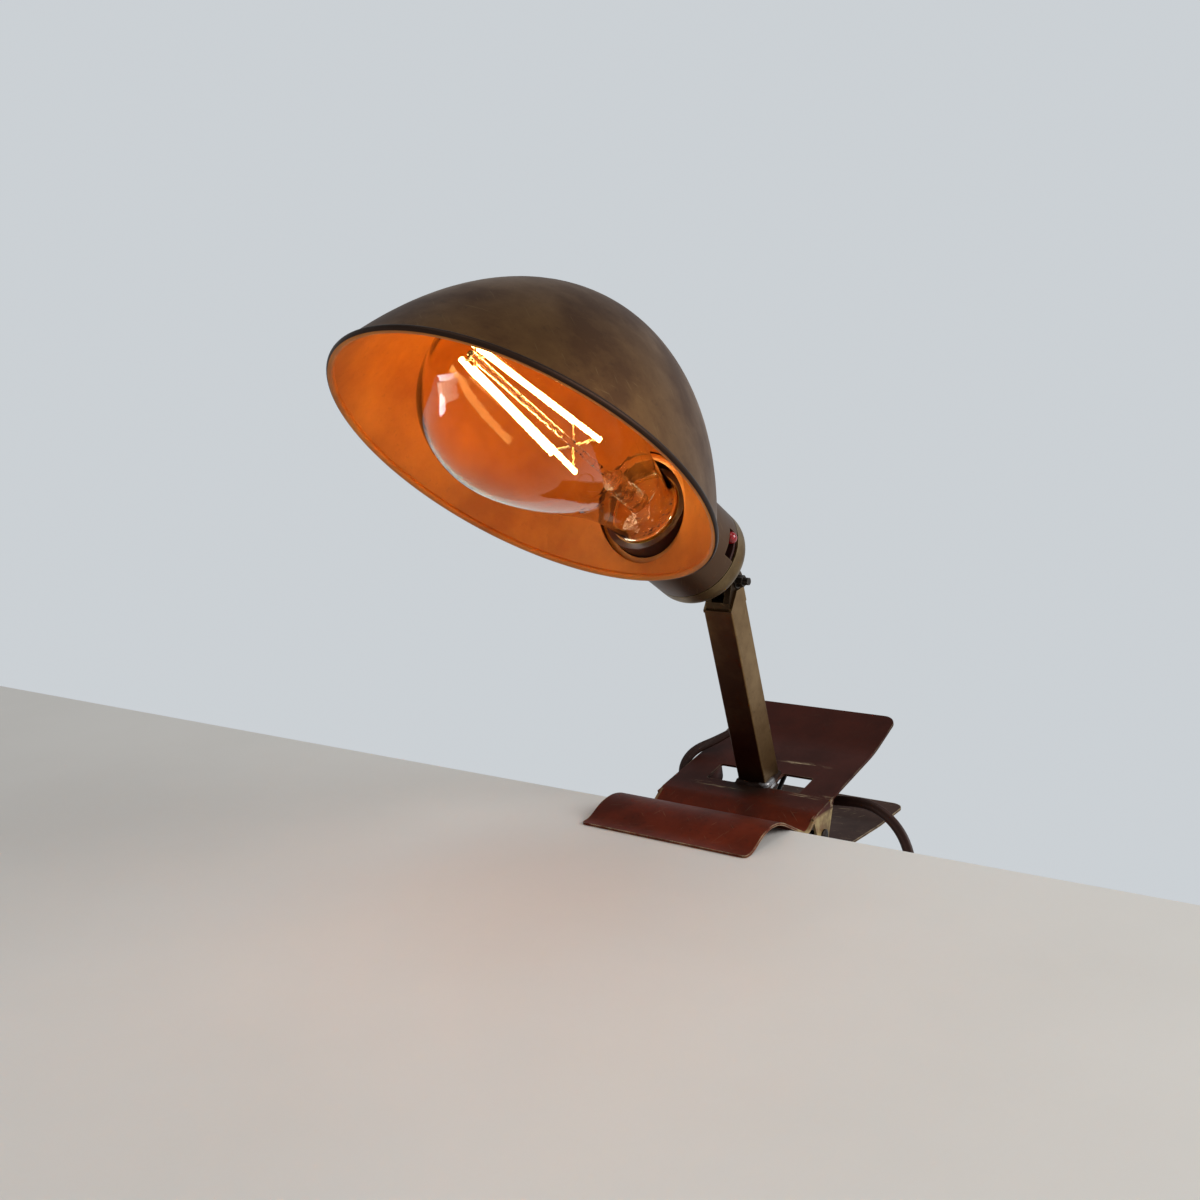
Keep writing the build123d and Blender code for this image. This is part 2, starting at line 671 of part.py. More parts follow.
def lever_sector(radius, half_angle):
    """A wedge about the head axis, centred on the lever's travel, inside a BuildSketch."""
    reach = radius / cos(radians(half_angle))
    corners = [
        (reach * cos(radians(LEVER_MIDDLE + a)), reach * sin(radians(LEVER_MIDDLE + a)))
        for a in (-half_angle, half_angle)
    ]
    with BuildLine() as wedge:
        Polyline((0, 0), *corners, close=True)
    make_face(wedge.edges())


rim_centre, rim_half_length, rim_half_width = rim_ellipse(SHADE_WALL / 2)

with BuildPart() as shade:
    add(DOME_SKIN)
    with BuildSketch(HEAD.offset(COLLAR_BACK)):
        Circle(CAP_RADIUS)
    extrude(amount=COLLAR_REACH)
    add(DOME_HOLLOW, mode=Mode.SUBTRACT)
    with BuildSketch(HEAD.offset(COLLAR_BACK)):
        Circle(COLLAR_BORE)
    extrude(amount=COLLAR_REACH, mode=Mode.SUBTRACT)
    split(bisect_by=RIM, keep=Keep.TOP)
    with BuildSketch(HEAD.offset(COLLAR_BACK)):
        lever_sector(2 * CAP_RADIUS, NOTCH_HALF_ANGLE)
    extrude(amount=NOTCH_DEPTH, mode=Mode.SUBTRACT)
    with BuildLine(RIM) as rim_line:
        EllipticalCenterArc((rim_centre, 0), rim_half_length, rim_half_width, 0, arc_size=180)
    with BuildSketch(Plane(origin=rim_line.line @ 0, z_dir=rim_line.line % 0)):
        Circle(RIM_BEAD)
    half_bead = sweep(path=rim_line.line)
    mirror(half_bead, about=Plane(origin=RIM_POINT, z_dir=X_AXIS))
save(shade, "shade")
print(f"shade rim: {2 * rim_half_length:.1f} by {2 * rim_half_width:.1f} mm")

# The socket: a moulded body in the collar, a screw shell, a contact and two terminal screws
SOCKET_RADIUS = COLLAR_BORE - RUNNING_FIT
POCKET = LEVER_THICKNESS + 2 * LEVER_PLAY
POCKET_HALF_ANGLE = LEVER_TRAVEL / 2 + degrees(asin(LEVER_ARM / 2 / LEVER_HUB)) + LEVER_SWING_ROOM

with BuildPart() as socket_body:
    with BuildSketch(HEAD_SIDE):
        with BuildLine():
            Polyline(
                (REAR_CAVITY_RADIUS, SOCKET_BACK),
                (SOCKET_RADIUS - CAP_WALL, SOCKET_BACK),
                (SOCKET_RADIUS - CAP_WALL, SEAM),
                (SOCKET_RADIUS, COLLAR_BACK),
                (SOCKET_RADIUS, SOCKET_STEP),
                (SOCKET_RING_RADIUS, SOCKET_STEP),
                (SOCKET_RING_RADIUS, SOCKET_FRONT),
                (SOCKET_BORE, SOCKET_FRONT),
                (SOCKET_BORE, SOCKET_FLOOR),
                (0, SOCKET_FLOOR),
                (0, REAR_CAVITY_END),
                (REAR_CAVITY_RADIUS, REAR_CAVITY_END),
                close=True,
            )
        make_face()
    revolve(axis=HEAD_AXIS)
    with BuildSketch(HEAD.offset(LEVER_PLANE - POCKET / 2)):
        lever_sector(2 * CAP_RADIUS, POCKET_HALF_ANGLE)
        Circle(LEVER_HUB + FIT)
    extrude(amount=POCKET, mode=Mode.SUBTRACT)
    with BuildSketch(HEAD.offset(LEVER_PLANE - BEAD_ROOM)):
        lever_sector(2 * CAP_RADIUS, NOTCH_HALF_ANGLE)
        Circle(BEAD_REACH - BEAD_ROOM, mode=Mode.SUBTRACT)
    extrude(amount=2 * BEAD_ROOM, mode=Mode.SUBTRACT)
    with BuildSketch(HEAD.offset(REAR_CAVITY_END)):
        with Locations((0, TERMINAL_OFFSET), (0, -TERMINAL_OFFSET)):
            Circle(TERMINAL_SHANK + RUNNING_FIT)
    extrude(amount=LEVER_PLANE - REAR_CAVITY_END, mode=Mode.SUBTRACT)
save(socket_body, "socket_body")

with BuildPart() as terminal_screws:
    with BuildSketch(HEAD.offset(REAR_CAVITY_END - TERMINAL_HEAD)):
        with Locations((0, TERMINAL_OFFSET), (0, -TERMINAL_OFFSET)):
            Circle(TERMINAL_RADIUS)
    extrude(amount=TERMINAL_HEAD)
    with BuildSketch(HEAD.offset(REAR_CAVITY_END)):
        with Locations((0, TERMINAL_OFFSET), (0, -TERMINAL_OFFSET)):
            Circle(TERMINAL_SHANK)
    extrude(amount=LEVER_PLANE - REAR_CAVITY_END)
    with BuildSketch(HEAD.offset(REAR_CAVITY_END - TERMINAL_HEAD)):
        with Locations((0, TERMINAL_OFFSET), (0, -TERMINAL_OFFSET)):
            Rectangle(2 * TERMINAL_RADIUS, TERMINAL_SHANK / 2)
    extrude(amount=TERMINAL_HEAD / 2, mode=Mode.SUBTRACT)
save(terminal_screws, "terminal_screws")

SHELL_OUTER = SOCKET_BORE - RUNNING_FIT
SHELL_BORE = SHELL_OUTER - SHELL_WALL

with BuildPart() as screw_shell:
    with BuildSketch(HEAD.offset(SOCKET_FLOOR)):
        Circle(SHELL_OUTER)
        Circle(SHELL_BORE - SHELL_LEDGE, mode=Mode.SUBTRACT)
    extrude(amount=SHELL_WALL)
    with BuildSketch(HEAD.offset(SOCKET_FLOOR)):
        Circle(SHELL_OUTER)
        Circle(SHELL_BORE, mode=Mode.SUBTRACT)
    extrude(amount=SOCKET_FRONT - SOCKET_FLOOR - SHELL_WALL)
save(screw_shell, "screw_shell")

with BuildPart() as center_contact:
    with BuildSketch(HEAD.offset(SOCKET_FLOOR)):
        Circle(CONTACT_RADIUS)
    extrude(amount=CONTACT)
    fillet(center_contact.faces().sort_by(HEAD_AXIS)[-1].edges(), radius=CONTACT / 2)
save(center_contact, "center_contact")

# The switch lever and its bead
LEVER_WAY = Vector(cos(radians(LEVER_ANGLE)), sin(radians(LEVER_ANGLE)), 0)
LEVER_TIP = BEAD_REACH - LEVER_PLAY
LEVER_REACH = LEVER_TIP - BEAD_RADIUS
LEVER_OUT = HEAD.from_local_coords(LEVER_WAY) - PIVOT
LEVER_HEART = HEAD.from_local_coords(Vector(0, 0, LEVER_PLANE))
BEAD_HEART = LEVER_HEART + LEVER_OUT * BEAD_REACH

with BuildPart() as switch_lever:
    lever_floor = HEAD.offset(LEVER_PLANE - LEVER_THICKNESS / 2)
    with BuildSketch(Plane(origin=lever_floor.origin, x_dir=LEVER_OUT, z_dir=HEAD_WAY)):
        Circle(LEVER_HUB)
        with Locations((LEVER_REACH / 2, 0)):
            Rectangle(LEVER_REACH, LEVER_ARM)
    extrude(amount=LEVER_THICKNESS)
    with BuildSketch(Plane(origin=LEVER_HEART, z_dir=LEVER_OUT)):
        Circle(LEVER_STEM)
    extrude(amount=LEVER_TIP)
save(switch_lever, "switch_lever")

with BuildPart() as lever_bead:
    with Locations(BEAD_HEART):
        Sphere(BEAD_RADIUS)
    with BuildSketch(Plane(origin=LEVER_HEART, z_dir=LEVER_OUT)):
        Circle(LEVER_STEM)
    extrude(amount=LEVER_TIP, mode=Mode.SUBTRACT)
save(lever_bead, "lever_bead")

# The bulb: glass, screw base, stem, mast and filament sticks
# from the neck to the tip, as shares of the bulb's length and of its radius
BULB_PROFILE = [
    (0.091, 0.4375),
    (0.227, 0.531),
    (0.409, 0.766),
    (0.564, 0.9375),
    (0.682, 1.0),
    (0.8, 0.9375),
    (0.891, 0.75),
    (0.964, 0.4375),
]


def bulb_line(shrink):
    """The bulb's side as a curve from neck to tip, drawn in by a wall, inside a BuildLine."""
    points = [(BULB_NECK_RADIUS - shrink, BULB_NECK)]
    for ahead, share in BULB_PROFILE:
        points.append((share * (BULB_RADIUS - shrink), BULB_NECK + ahead * BULB_LENGTH))
    points.append((0, BULB_NECK + BULB_LENGTH - shrink))
    return Spline(*points, tangents=[(0, 1), (-1, 0)])


with BuildPart() as bulb_glass:
    with BuildSketch(HEAD_SIDE):
        with BuildLine():
            glass_out = bulb_line(0)
            glass_in = bulb_line(GLASS)
            Line(glass_out @ 0, glass_in @ 0)
            Line(glass_out @ 1, glass_in @ 1)
        make_face()
    revolve(axis=HEAD_AXIS)
save(bulb_glass, "bulb_glass")

THREADS = int((BULB_NECK - BASE_BACK) / THREAD_PITCH)

with BuildPart() as bulb_base:
    with BuildSketch(HEAD_SIDE):
        with BuildLine():
            base_out = [(BASE_RADIUS - THREAD_DEPTH, BULB_NECK)]
            for turn in range(THREADS):
                crest = BULB_NECK - (turn + 0.5) * THREAD_PITCH
                base_out.append((BASE_RADIUS, crest))
                base_out.append((BASE_RADIUS - THREAD_DEPTH, crest - THREAD_PITCH / 2))
            base_out.append((BASE_RADIUS - THREAD_DEPTH, BASE_BACK))
            base_in = [(r - BASE_WALL, t) for r, t in reversed(base_out)]
            Polyline(*base_out, *base_in, close=True)
        make_face()
    revolve(axis=HEAD_AXIS)
save(bulb_base, "bulb_base")

with BuildPart() as base_insulator:
    with BuildSketch(HEAD_SIDE):
        with BuildLine():
            Polyline(
                (0, BASE_BACK),
                (BASE_RADIUS - THREAD_DEPTH, BASE_BACK),
                (TIP_RADIUS + INSULATOR, BASE_BACK - INSULATOR),
                (0, BASE_BACK - INSULATOR),
                close=True,
            )
        make_face()
    revolve(axis=HEAD_AXIS)
save(base_insulator, "base_insulator")

with BuildPart() as base_contact:
    with BuildSketch(HEAD.offset(BASE_BACK - INSULATOR)):
        Circle(TIP_RADIUS)
    extrude(amount=-TIP)
    fillet(base_contact.faces().sort_by(HEAD_AXIS)[0].edges(), radius=TIP / 2)
save(base_contact, "base_contact")

STEM_TOP = BULB_NECK + STEM_LENGTH
MAST_END = BULB_NECK + STICK_START + STICK_RUN + MAST_TIP

with BuildPart() as bulb_stem:
    with BuildSketch(HEAD_SIDE):
        with BuildLine():
            Polyline(
                (0, BULB_NECK),
                (BULB_NECK_RADIUS - 2 * GLASS, BULB_NECK),
                (BULB_NECK_RADIUS - 3 * GLASS, BULB_NECK + GLASS),
                (STEM_RADIUS, BULB_NECK + STEM_RADIUS),
                (STEM_RADIUS, STEM_TOP - STEM_RADIUS),
                (MAST_RADIUS, STEM_TOP),
                (MAST_RADIUS, MAST_END),
                (0, MAST_END),
                close=True,
            )
        make_face()
    revolve(axis=HEAD_AXIS)
save(bulb_stem, "bulb_stem")


def stick_end(index, head):
    """Foot or head of one filament stick, on the cone that the sticks form."""
    angle = 2 * pi * (index + 0.5) / STICK_COUNT + radians(STICK_TURN)
    radius = STICK_HEAD_RADIUS if head else STICK_FOOT_RADIUS
    ahead = BULB_NECK + STICK_START + (STICK_RUN if head else 0)
    return HEAD.from_local_coords(Vector(radius * cos(angle), radius * sin(angle), ahead))


def rod(start, end, radius):
    """A round rod between two points, inside a BuildPart."""
    with BuildSketch(Plane(origin=start, z_dir=end - start)) as section:
        Circle(radius)
    extrude(section.sketch, amount=(end - start).length)


with BuildPart() as filament_sticks:
    for index in range(STICK_COUNT):
        rod(stick_end(index, False), stick_end(index, True), STICK_RADIUS)
save(filament_sticks, "filament_sticks")

with BuildPart() as filament_wires:
    for index in range(STICK_COUNT):
        foot, top = stick_end(index, False), stick_end(index, True)
        inset = (top - foot).normalized() * STICK_RADIUS
        for joint in (foot + inset, top - inset):
            mast = HEAD.from_local_coords(Vector(0, 0, HEAD.to_local_coords(joint).Z))
            rod(mast, joint, WIRE_RADIUS)
    add(bulb_stem.part, mode=Mode.SUBTRACT)
    add(filament_sticks.part, mode=Mode.SUBTRACT)
save(filament_wires, "filament_wires")

# The cord: a grommet in the arm's rear wall, a lead inside the arm, the free run, a tied coil
HOLE = ARM.from_local_coords(Vector(0, ARM_SIZE / 2, CORD_HOLE_HEIGHT))
HOLE_OUT = Plane(origin=HOLE, x_dir=X_AXIS, z_dir=ARM.y_dir)

with BuildPart() as cord_grommet:
    with BuildSketch(HOLE_OUT.offset(-ARM_WALL)):
        Circle(CORD / 2 + GROMMET_WALL)
    extrude(amount=ARM_WALL)
    for plane, way in ((HOLE_OUT, 1), (HOLE_OUT.offset(-ARM_WALL), -1)):
        with BuildSketch(plane):
            Circle(CORD / 2 + GROMMET_WALL + GROMMET_FLANGE / 2)
        extrude(amount=way * GROMMET_FLANGE / 2)
    with BuildSketch(HOLE_OUT.offset(-2 * GROMMET_FLANGE)):
        Circle(CORD / 2 + RUNNING_FIT)
    extrude(amount=4 * GROMMET_FLANGE, mode=Mode.SUBTRACT)
save(cord_grommet, "cord_grommet")

CORD_START = HOLE_OUT.from_local_coords(Vector(0, 0, GROMMET_FLANGE))

with BuildPart() as arm_lead:
    lead_points = [
        CORD_START,
        ARM.from_local_coords(Vector(0, 0, CORD_HOLE_HEIGHT)),
        ARM.from_local_coords(Vector(0, 0, ARM_LENGTH - LEAD_SHORT)),
    ]
    with BuildLine() as lead_line:
        FilletPolyline(*lead_points, radius=LEAD_BEND)
    with BuildSketch(Plane(origin=CORD_START, z_dir=lead_points[1] - CORD_START)):
        Circle(CORD / 2)
    sweep(path=lead_line.line)
save(arm_lead, "arm_lead")

COIL_TURNS = COIL_TURNS_IN + COIL_CLIMB + COIL_TURNS_OUT
COIL_MIDDLE = COIL_TURNS_IN + COIL_CLIMB / 2
COIL_INNER = COIL_OUTER - COIL_PITCH * COIL_MIDDLE


def coil_spot(turn):
    """Radius and layer of the coil after some turns: in, up a layer in half a turn, out again."""
    radius = COIL_INNER + COIL_PITCH * abs(turn - COIL_MIDDLE)
    climbed = min(max((turn - COIL_TURNS_IN) / COIL_CLIMB, 0), 1)
    return radius, (1 - cos(pi * climbed)) / 2


def coil_point(turn):
    """Point on the coil, which starts at its top and winds towards -X."""
    radius, layer = coil_spot(turn)
    angle = pi / 2 + 2 * pi * turn
    return Vector(
        COIL_X + radius * cos(angle), COIL_Y + COIL_PITCH * layer, COIL_Z + radius * sin(angle)
    )


def coil_way(turn):
    """Direction of the cord there; the two ends lie square to the coil's radius."""
    if turn in (0, COIL_TURNS):
        angle = pi / 2 + 2 * pi * turn
        return Vector(-sin(angle), 0, cos(angle))
    small = 0.001
    return (coil_point(turn + small) - coil_point(turn - small)).normalized()


COIL_STEPS = round(4 * COIL_TURNS)
COIL_START = coil_point(0)
COIL_END = coil_point(COIL_TURNS)
RUN_POINTS = [
    CORD_START,
    CORD_START + HOLE_OUT.z_dir * CORD_EXIT,
    *CORD_ROUTE,
    COIL_START - coil_way(0) * CORD_ENTRY,
    COIL_START,
]

with BuildPart() as cord_run:
    run_radii = corner_radii(RUN_POINTS)
    with BuildLine() as run_line:
        FilletPolyline(*RUN_POINTS, radius=run_radii)
    with BuildSketch(Plane(origin=CORD_START, z_dir=Vector(RUN_POINTS[1]) - CORD_START)):
        Circle(CORD / 2)
    sweep(path=run_line.line)
save(cord_run, "cord_run")
run_length = run_line.wire().length
print("cord_run radii:", " ".join(f"{radius:.0f}" for radius in run_radii))
run_by_volume = cord_run.part.volume / (pi * CORD**2 / 4)
print(f"cord_run: length {run_length:.0f}, volume over section {run_by_volume:.0f} mm")

with BuildPart() as cord_coil:
    with BuildLine() as coil_line:
        for step in range(COIL_STEPS):
            here = COIL_TURNS * step / COIL_STEPS
            there = COIL_TURNS * (step + 1) / COIL_STEPS
            biarc(coil_point(here), coil_way(here), coil_point(there), coil_way(there))
        Line(COIL_END, COIL_END + coil_way(COIL_TURNS) * TAIL_LENGTH)
    with BuildSketch(Plane(origin=COIL_START, z_dir=coil_way(0))):
        Circle(CORD / 2)
    sweep(path=coil_line.line)
save(cord_coil, "cord_coil")
coil_points = [coil_point(COIL_TURNS * i / 400) for i in range(401)]
coil_length = coil_line.wire().length
print(f"cord_coil: length {coil_length:.0f} mm, least gap {least_gap(coil_points, 24, CORD):.2f} mm")

# The tie round the coil's right side, where the cord runs level with Z
TIE_INSIDE = sqrt(COIL_INNER**2 - TIE_BAND**2 / 4) - CORD / 2 - TIE_PLAY
TIE_OUTSIDE = COIL_OUTER - TIE_TUCK * COIL_PITCH + CORD / 2 + TIE_PLAY
TIE_DEPTH = COIL_PITCH + CORD + 2 * TIE_PLAY
TIE_HEART = (COIL_X + (TIE_INSIDE + TIE_OUTSIDE) / 2, COIL_Y + COIL_PITCH / 2)

with BuildPart() as cord_tie:
    with BuildSketch(Plane.XY.offset(COIL_Z - TIE_BAND / 2)):
        with Locations(TIE_HEART):
            tie_width = TIE_OUTSIDE - TIE_INSIDE
            RectangleRounded(tie_width + 2 * TIE_THICK, TIE_DEPTH + 2 * TIE_THICK, 2 * TIE_THICK)
            RectangleRounded(tie_width, TIE_DEPTH, TIE_THICK, mode=Mode.SUBTRACT)
    extrude(amount=TIE_BAND)
save(cord_tie, "cord_tie")

# The plug hangs from the coil's tail
PLUG_TOP = Plane(origin=COIL_END - Vector(0, 0, TAIL_LENGTH), x_dir=X_AXIS, z_dir=(0, 0, -1))

with BuildPart() as plug_body:
    with BuildSketch(PLUG_TOP):
        RectangleRounded(PLUG_NECK_WIDTH, PLUG_NECK_DEPTH, PLUG_ROUND)
    with BuildSketch(PLUG_TOP.offset(PLUG_HEIGHT / 2)):
        RectangleRounded(PLUG_WIDTH, PLUG_DEPTH, PLUG_ROUND)
    loft()
    with BuildSketch(PLUG_TOP.offset(PLUG_HEIGHT / 2)):
        RectangleRounded(PLUG_WIDTH, PLUG_DEPTH, PLUG_ROUND)
    extrude(amount=PLUG_HEIGHT / 2)
save(plug_body, "plug_body")

with BuildPart() as plug_blades:
    with BuildSketch(PLUG_TOP.offset(PLUG_HEIGHT)):
        with GridLocations(BLADE_SPACING, 1, 2, 1):
            Rectangle(BLADE_THICK, BLADE_WIDTH)
    extrude(amount=BLADE_LENGTH)
save(plug_blades, "plug_blades")

print(f"cord in all: {(run_length + coil_length) / 1000:.2f} m")
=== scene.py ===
# %% [markdown]
# # A vintage clip-on reading lamp
# The lamp grips a board with a sprung clip of painted sheet steel. A square brass arm leans
# up from it and carries a tilting head: a socket, a long amber bulb and a spun brass shade.
# The solids come from the CAD model as a fixed frame. This lesson dresses them: it lays the
# cord, models what needs a softer or finer form, and gives every piece its finish.

# %% Load the frame
from math import cos, exp, pi, radians, sin

import bpy
from mathutils import Matrix, Vector


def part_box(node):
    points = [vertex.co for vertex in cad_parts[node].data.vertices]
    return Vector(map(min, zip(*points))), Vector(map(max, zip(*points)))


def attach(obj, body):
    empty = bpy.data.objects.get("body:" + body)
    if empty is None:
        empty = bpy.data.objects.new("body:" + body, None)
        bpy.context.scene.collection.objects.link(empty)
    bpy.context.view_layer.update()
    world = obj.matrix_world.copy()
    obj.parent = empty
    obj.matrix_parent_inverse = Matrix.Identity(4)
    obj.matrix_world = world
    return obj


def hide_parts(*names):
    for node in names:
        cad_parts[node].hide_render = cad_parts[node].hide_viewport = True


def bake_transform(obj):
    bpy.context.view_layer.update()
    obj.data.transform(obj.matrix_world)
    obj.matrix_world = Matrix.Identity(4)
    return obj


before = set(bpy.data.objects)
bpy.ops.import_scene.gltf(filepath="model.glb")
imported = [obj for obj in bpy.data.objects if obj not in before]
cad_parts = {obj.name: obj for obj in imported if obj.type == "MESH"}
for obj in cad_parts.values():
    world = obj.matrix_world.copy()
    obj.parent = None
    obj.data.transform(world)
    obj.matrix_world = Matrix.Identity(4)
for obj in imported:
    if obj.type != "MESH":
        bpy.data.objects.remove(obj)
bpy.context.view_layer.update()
MM = 0.001

# %% [markdown]
# ## Camera
# The camera stands where the photographer stood: in front, to the right and a little above
# the clip. Its three directions were worked out from edges of known length, so they are given
# as vectors and not as angles.

# %% Camera
CAMERA_PLACE = Vector((0.2481, -0.3809, 0.1613))
CAMERA_RIGHT = Vector((0.81465, 0.57945, -0.02420))
CAMERA_UP = Vector((-0.06809, 0.13701, 0.98823))
CAMERA_SENSOR = 36.0
CAMERA_LENS = 37.875

camera_data = bpy.data.cameras.new("camera")
camera_data.sensor_width = CAMERA_SENSOR
camera_data.lens = CAMERA_LENS
camera = bpy.data.objects.new("camera", camera_data)
bpy.context.scene.collection.objects.link(camera)
camera_back = CAMERA_RIGHT.cross(CAMERA_UP)
turn = Matrix((CAMERA_RIGHT, CAMERA_UP, camera_back)).transposed().to_4x4()
camera.matrix_world = Matrix.Translation(CAMERA_PLACE) @ turn
bpy.context.scene.camera = camera
print("camera looks along", [round(-part, 2) for part in camera_back])

# %% [markdown]
# ## The cord's line
# A lamp cord hangs and lies under its own weight, so its line is one smooth spline through a
# few given points: out of the arm, round the left of the clip, back under the plate and down
# behind the board. The rest is put away in a flat coil of two layers. The points of the coil
# are placed by a loop, sixteen to a turn.

# %% Cord route
ARM_BACK = Vector((0.0, 0.9426, 0.3338))
CORD_START = Vector((0.0, 79.953, 22.061)) * MM
CORD_STUB = 5.0 * MM
CORD_ROUTE = [
    (-3.5, 89.5, 25.3), (-8.0, 95.5, 25.4), (-15.0, 100.3, 22.6), (-23.0, 101.0, 18.0),
    (-31.0, 95.4, 12.5), (-38.8, 88.4, 8.6), (-41.4, 83.1, 2.2), (-39.0, 80.5, -4.5),
    (-30.0, 80.5, -8.5), (-15.0, 83.0, -8.0), (2.0, 87.0, -6.5), (19.0, 89.0, -5.0),
    (34.0, 88.5, -3.0), (46.0, 87.0, -2.0), (55.5, 86.0, -6.2), (62.5, 85.0, -14.0),
    (66.5, 83.0, -26.0), (67.0, 80.5, -37.0), (63.5, 79.0, -46.5), (56.0, 78.0, -51.5),
]
COIL_CENTRE = Vector((46.0, 78.0, -88.0)) * MM
COIL_PITCH = 4.5 * MM
COIL_INNER = 15.125 * MM
COIL_MIDDLE = 4.75
COIL_CLIMB_AT = 4.5
COIL_CLIMB = 0.5
COIL_TURNS = 9.25
COIL_POINTS_PER_TURN = 16
COIL_START = radians(90)
TAIL_DROPS = (8.0 * MM, 24.0 * MM, 45.0 * MM)
SPLINE_ORDER = 3
SPLINE_STEPS = 5


def coil_point(turn):
    """A place on the put-away coil: in on the first layer, over, and out on the second."""
    radius = COIL_INNER + COIL_PITCH * abs(turn - COIL_MIDDLE)
    climb = min(max((turn - COIL_CLIMB_AT) / COIL_CLIMB, 0.0), 1.0)
    layer = (1 - cos(pi * climb)) / 2
    angle = COIL_START + 2 * pi * turn
    return COIL_CENTRE + Vector((radius * cos(angle), COIL_PITCH * layer, radius * sin(angle)))


route = [CORD_START, CORD_START + ARM_BACK * CORD_STUB]
route += [Vector(point) * MM for point in CORD_ROUTE]
coil_steps = round(COIL_TURNS * COIL_POINTS_PER_TURN)
route += [coil_point(step / COIL_POINTS_PER_TURN) for step in range(coil_steps + 1)]
route += [route[-1] - Vector((0.0, 0.0, drop)) for drop in TAIL_DROPS]

line_data = bpy.data.curves.new("cord_line", "CURVE")
line_data.dimensions = "3D"
spline = line_data.splines.new("NURBS")
spline.points.add(len(route) - 1)
for spot, place in zip(spline.points, route):
    spot.co = (*place, 1.0)
spline.order_u = SPLINE_ORDER
spline.use_endpoint_u = True
spline.resolution_u = SPLINE_STEPS
cord_line = bpy.data.objects.new("cord_line", line_data)
bpy.context.scene.collection.objects.link(cord_line)
line_mesh = bpy.data.meshes.new_from_object(cord_line)
cord_points = [vertex.co.copy() for vertex in line_mesh.vertices]
bpy.data.objects.remove(cord_line)
bpy.data.meshes.remove(line_mesh)

# %% [markdown]
# ## The cord itself
# The lead is old flat twin flex: two wires side by side in one brown sleeve, with a groove
# down the middle of each face. A round bevel can't show the groove, so a figure-of-eight
# section is carried along the line. Its broad face looks to the front on the way round the
# clip, and turns edge-on in the coil so that the turns lie snugly beside each other.

# %% Cord mesh
CORD_WIDTH = 4.2 * MM
CORD_THICK = 2.3 * MM
CORD_GROOVE = 0.34
CORD_GROOVE_WIDTH = 0.5 * MM
SECTION_POINTS = 24
RUN_FACE = Vector((0.45, -0.85, 0.25))
FACE_EASE = 0.12


def twin_section():
    """The flex's outline across its width and thickness."""
    outline = []
    for step in range(SECTION_POINTS):
        angle = 2 * pi * step / SECTION_POINTS
        across = CORD_WIDTH / 2 * cos(angle)
        groove = 1 - CORD_GROOVE * exp(-((across / CORD_GROOVE_WIDTH) ** 2))
        outline.append((across, CORD_THICK / 2 * sin(angle) * groove))
    return outline


def face_wanted(place, index):
    """Which way the broad face would like to look here."""
    if index < coil_from:
        return RUN_FACE
    outward = place - COIL_CENTRE
    outward.y = 0.0
    return outward.normalized()


coil_from = min(range(len(cord_points)), key=lambda i: (cord_points[i] - coil_point(0)).length)
section = twin_section()
vertices, faces = [], []
face_way = RUN_FACE.copy()
for index, place in enumerate(cord_points):
    ahead = cord_points[min(index + 1, len(cord_points) - 1)]
    behind = cord_points[max(index - 1, 0)]
    onward = (ahead - behind).normalized()
    face_way = face_way * (1 - FACE_EASE) + face_wanted(place, index) * FACE_EASE
    face_way = (face_way - onward * face_way.dot(onward)).normalized()
    broad_way = onward.cross(face_way)
    vertices += [place + broad_way * across + face_way * depth for across, depth in section]
for ring in range(len(cord_points) - 1):
    first = ring * SECTION_POINTS
    for side in range(SECTION_POINTS):
        beside = (side + 1) % SECTION_POINTS
        faces.append((
            first + side, first + beside,
            first + SECTION_POINTS + beside, first + SECTION_POINTS + side,
        ))
faces.append(tuple(range(SECTION_POINTS))[::-1])
last = (len(cord_points) - 1) * SECTION_POINTS
faces.append(tuple(range(last, last + SECTION_POINTS)))
cord_mesh = bpy.data.meshes.new("twin_flex")
cord_mesh.from_pydata(vertices, [], faces)
cord_mesh.shade_smooth()
twin_flex = bpy.data.objects.new("twin_flex", cord_mesh)
bpy.context.scene.collection.objects.link(twin_flex)
print("cord:", len(faces), "faces")

# %% [markdown]
# ## Stage
# A plain pale board stands in for the table edge that the clip grips. It is stage, not part
# of the lamp. A cube is drawn out to the board's size, and a bevel breaks its sharp edges.

# %% Board
BOARD_THICK = 24.0 * MM
BOARD_WIDTH = 1.8
BOARD_DEPTH = 1.4
BOARD_BACK = 36.3 * MM
BOARD_YAW = radians(1.3)
BOARD_ROUND = 1.5 * MM
BOARD_ROUND_STEPS = 3


def only_this(piece):
    """Leave edit mode, deselect everything, then select one object and make it active."""
    if bpy.context.mode != "OBJECT":
        bpy.ops.object.mode_set(mode="OBJECT")
    bpy.ops.object.select_all(action="DESELECT")
    piece.select_set(True)
    bpy.context.view_layer.objects.active = piece


bpy.ops.object.select_all(action="DESELECT")
bpy.ops.mesh.primitive_cube_add(size=1.0)
board = bpy.context.object
board.name = "board"
board.scale = (BOARD_WIDTH, BOARD_DEPTH, BOARD_THICK)
board.location = (0.0, BOARD_BACK - BOARD_DEPTH / 2, -BOARD_THICK / 2)
bpy.ops.object.transform_apply(location=True, rotation=True, scale=True)
board.rotation_euler = (0.0, 0.0, BOARD_YAW)
bpy.ops.object.transform_apply(location=True, rotation=True, scale=True)
round_edges = board.modifiers.new("round_edges", "BEVEL")
round_edges.width = BOARD_ROUND
round_edges.segments = BOARD_ROUND_STEPS
bpy.ops.object.modifier_apply(modifier="round_edges")
print("board:", len(board.data.polygons), "faces")

